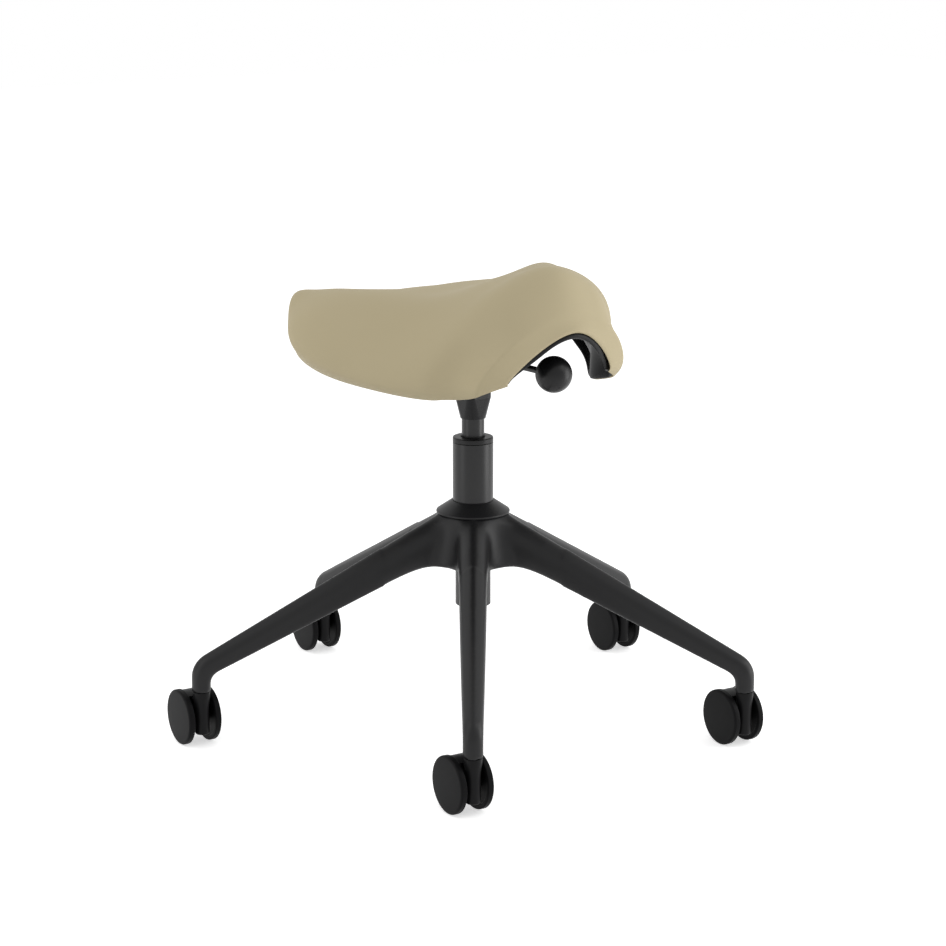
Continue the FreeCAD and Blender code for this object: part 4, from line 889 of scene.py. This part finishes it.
def make_knob():
    arc = [(KNOB_RADIUS * math.sin(a), KNOB_RADIUS * math.cos(a), 0) for a in np.linspace(0.24, math.pi, 48)]
    neck = [(4.0, KNOB_RADIUS - 1.5, 0), (5.0, arc[0][1] + 0.4, 0.5)]
    knob = turned("ball_knob_skin", [(0, KNOB_RADIUS - 1.5, 0)] + neck + arc[:-1] + [(0, -KNOB_RADIUS, 0)], 96, 60)
    # the neck faces the column
    placed(knob, Matrix.Translation(KNOB_SPOT) @ Matrix.Rotation(math.radians(-90), 4, "X"))
    finished(knob, MATERIALS["knob_plastic"], "knob_plastic", "lever", "ball_knob")


# Casters: the trail runs along X in a caster's own frame, its stem stands at the origin

TRAIL_AZIMUTH = 84.0
TRAIL = 22.0
WHEEL_RADIUS = 34.0
HOOD_RADIUS = 32.5
HOOD_WALL = 2.5
HOOD_HALF = 13.2
WEB_HALF = 7.0


def make_wheel():
    """A wheel turned about its axle, with a flat face and a shallow recess on its inner side."""
    wheel = turned("wheel", [
        (0, 19.0, 0), (3.1, 19.0, 0), (3.1, 7.7, 0), (8, 7.7, 0.6), (8, 15.4, 0.8), (28, 15.4, 0.8), (28.6, 13.9, 0.5),
        (34, 13.9, 1.2), (34, 20.6, 1.5), (31.6, 21.6, 1.2), (16, 22.0, 6), (0, 22.1, 0)], 96, 40)
    return wheel


def arc_points(radius, start, end, steps):
    """Points on a circle about the axle, angles in degrees from the trail's direction."""
    return [(TRAIL + radius * math.cos(math.radians(a)), WHEEL_RADIUS + radius * math.sin(math.radians(a)))
            for a in np.linspace(start, end, steps)]


def plate(name, outline, half, bevel):
    """A flat piece of an outline in X and Z, half its thickness to each side, with rounded edges."""
    rings = []
    for side, inset in ((-1, 1), (-1, 0), (1, 0), (1, 1)):
        y = side * (half - (0 if inset else bevel))
        rings.append(np.array([(x * MM, y * MM, z * MM) for x, z in outline]))
    return ringed(name, rings, 30)


def make_caster_housing():
    """Swivel post with its head, the web between the wheels and the hood behind the post."""
    post = turned("post", [(0, 16, 0), (8.8, 16, 2.5), (8.8, 52, 6), (10.5, 62, 4), (10.7, 69.9, 0.9), (0, 69.9, 0)])
    hood = plate("hood", arc_points(HOOD_RADIUS, 116, -14, 40) + arc_points(HOOD_RADIUS - HOOD_WALL, -14, 116, 40),
                 HOOD_HALF, 0.8)
    web = plate("web", arc_points(HOOD_RADIUS - 1, 112, -10, 30) + arc_points(16, -30, -150, 20) + [(3, 25), (3, 58)],
                WEB_HALF, 0.8)
    return joined("caster_housing", post, hood, web)


def make_casters():
    housing = make_caster_housing()
    wheel = make_wheel()
    trail_turn = Matrix.Rotation(math.radians(TRAIL_AZIMUTH), 4, "Z")
    for number, azimuth in enumerate(LEG_AZIMUTHS, start=1):
        angle = math.radians(azimuth)
        stem = Matrix.Translation((LEG_REACH * MM * math.cos(angle), LEG_REACH * MM * math.sin(angle), 0)) @ trail_turn
        moulding = copied(housing, f"caster_{number}_moulding", stem)
        finished(moulding, MATERIALS["caster_plastic"], "caster_plastic", f"caster_{number}",
                 f"caster_{number}_housing")
        hub = stem @ Matrix.Translation((TRAIL * MM, 0, WHEEL_RADIUS * MM))
        for side, tilt in (("left", -90), ("right", 90)):
            disc = copied(wheel, f"caster_{number}_{side}_disc", hub @ Matrix.Rotation(math.radians(tilt), 4, "X"))
            finished(disc, MATERIALS["wheel_nylon"], "wheel_nylon", f"wheel_{number}_{side}",
                     f"caster_{number}_wheel_{side}")
    bpy.data.objects.remove(housing)
    bpy.data.objects.remove(wheel)


# Materials of the pieces whose solids are kept as they are

def dress_kept_nodes():
    slots = {entry["node"]: entry["material_slot"] for entry in frame["record"]["subparts"]}
    for name, thing in nodes.items():
        thing.data.materials.clear()
        thing.data.materials.append(MATERIALS[slots[name]])


make_camera()
make_studio()
dress_kept_nodes()
make_cushion()
make_shell()
make_star_base()
make_column()
make_knob()
make_casters()
bpy.context.scene.view_settings.view_transform = "Standard"
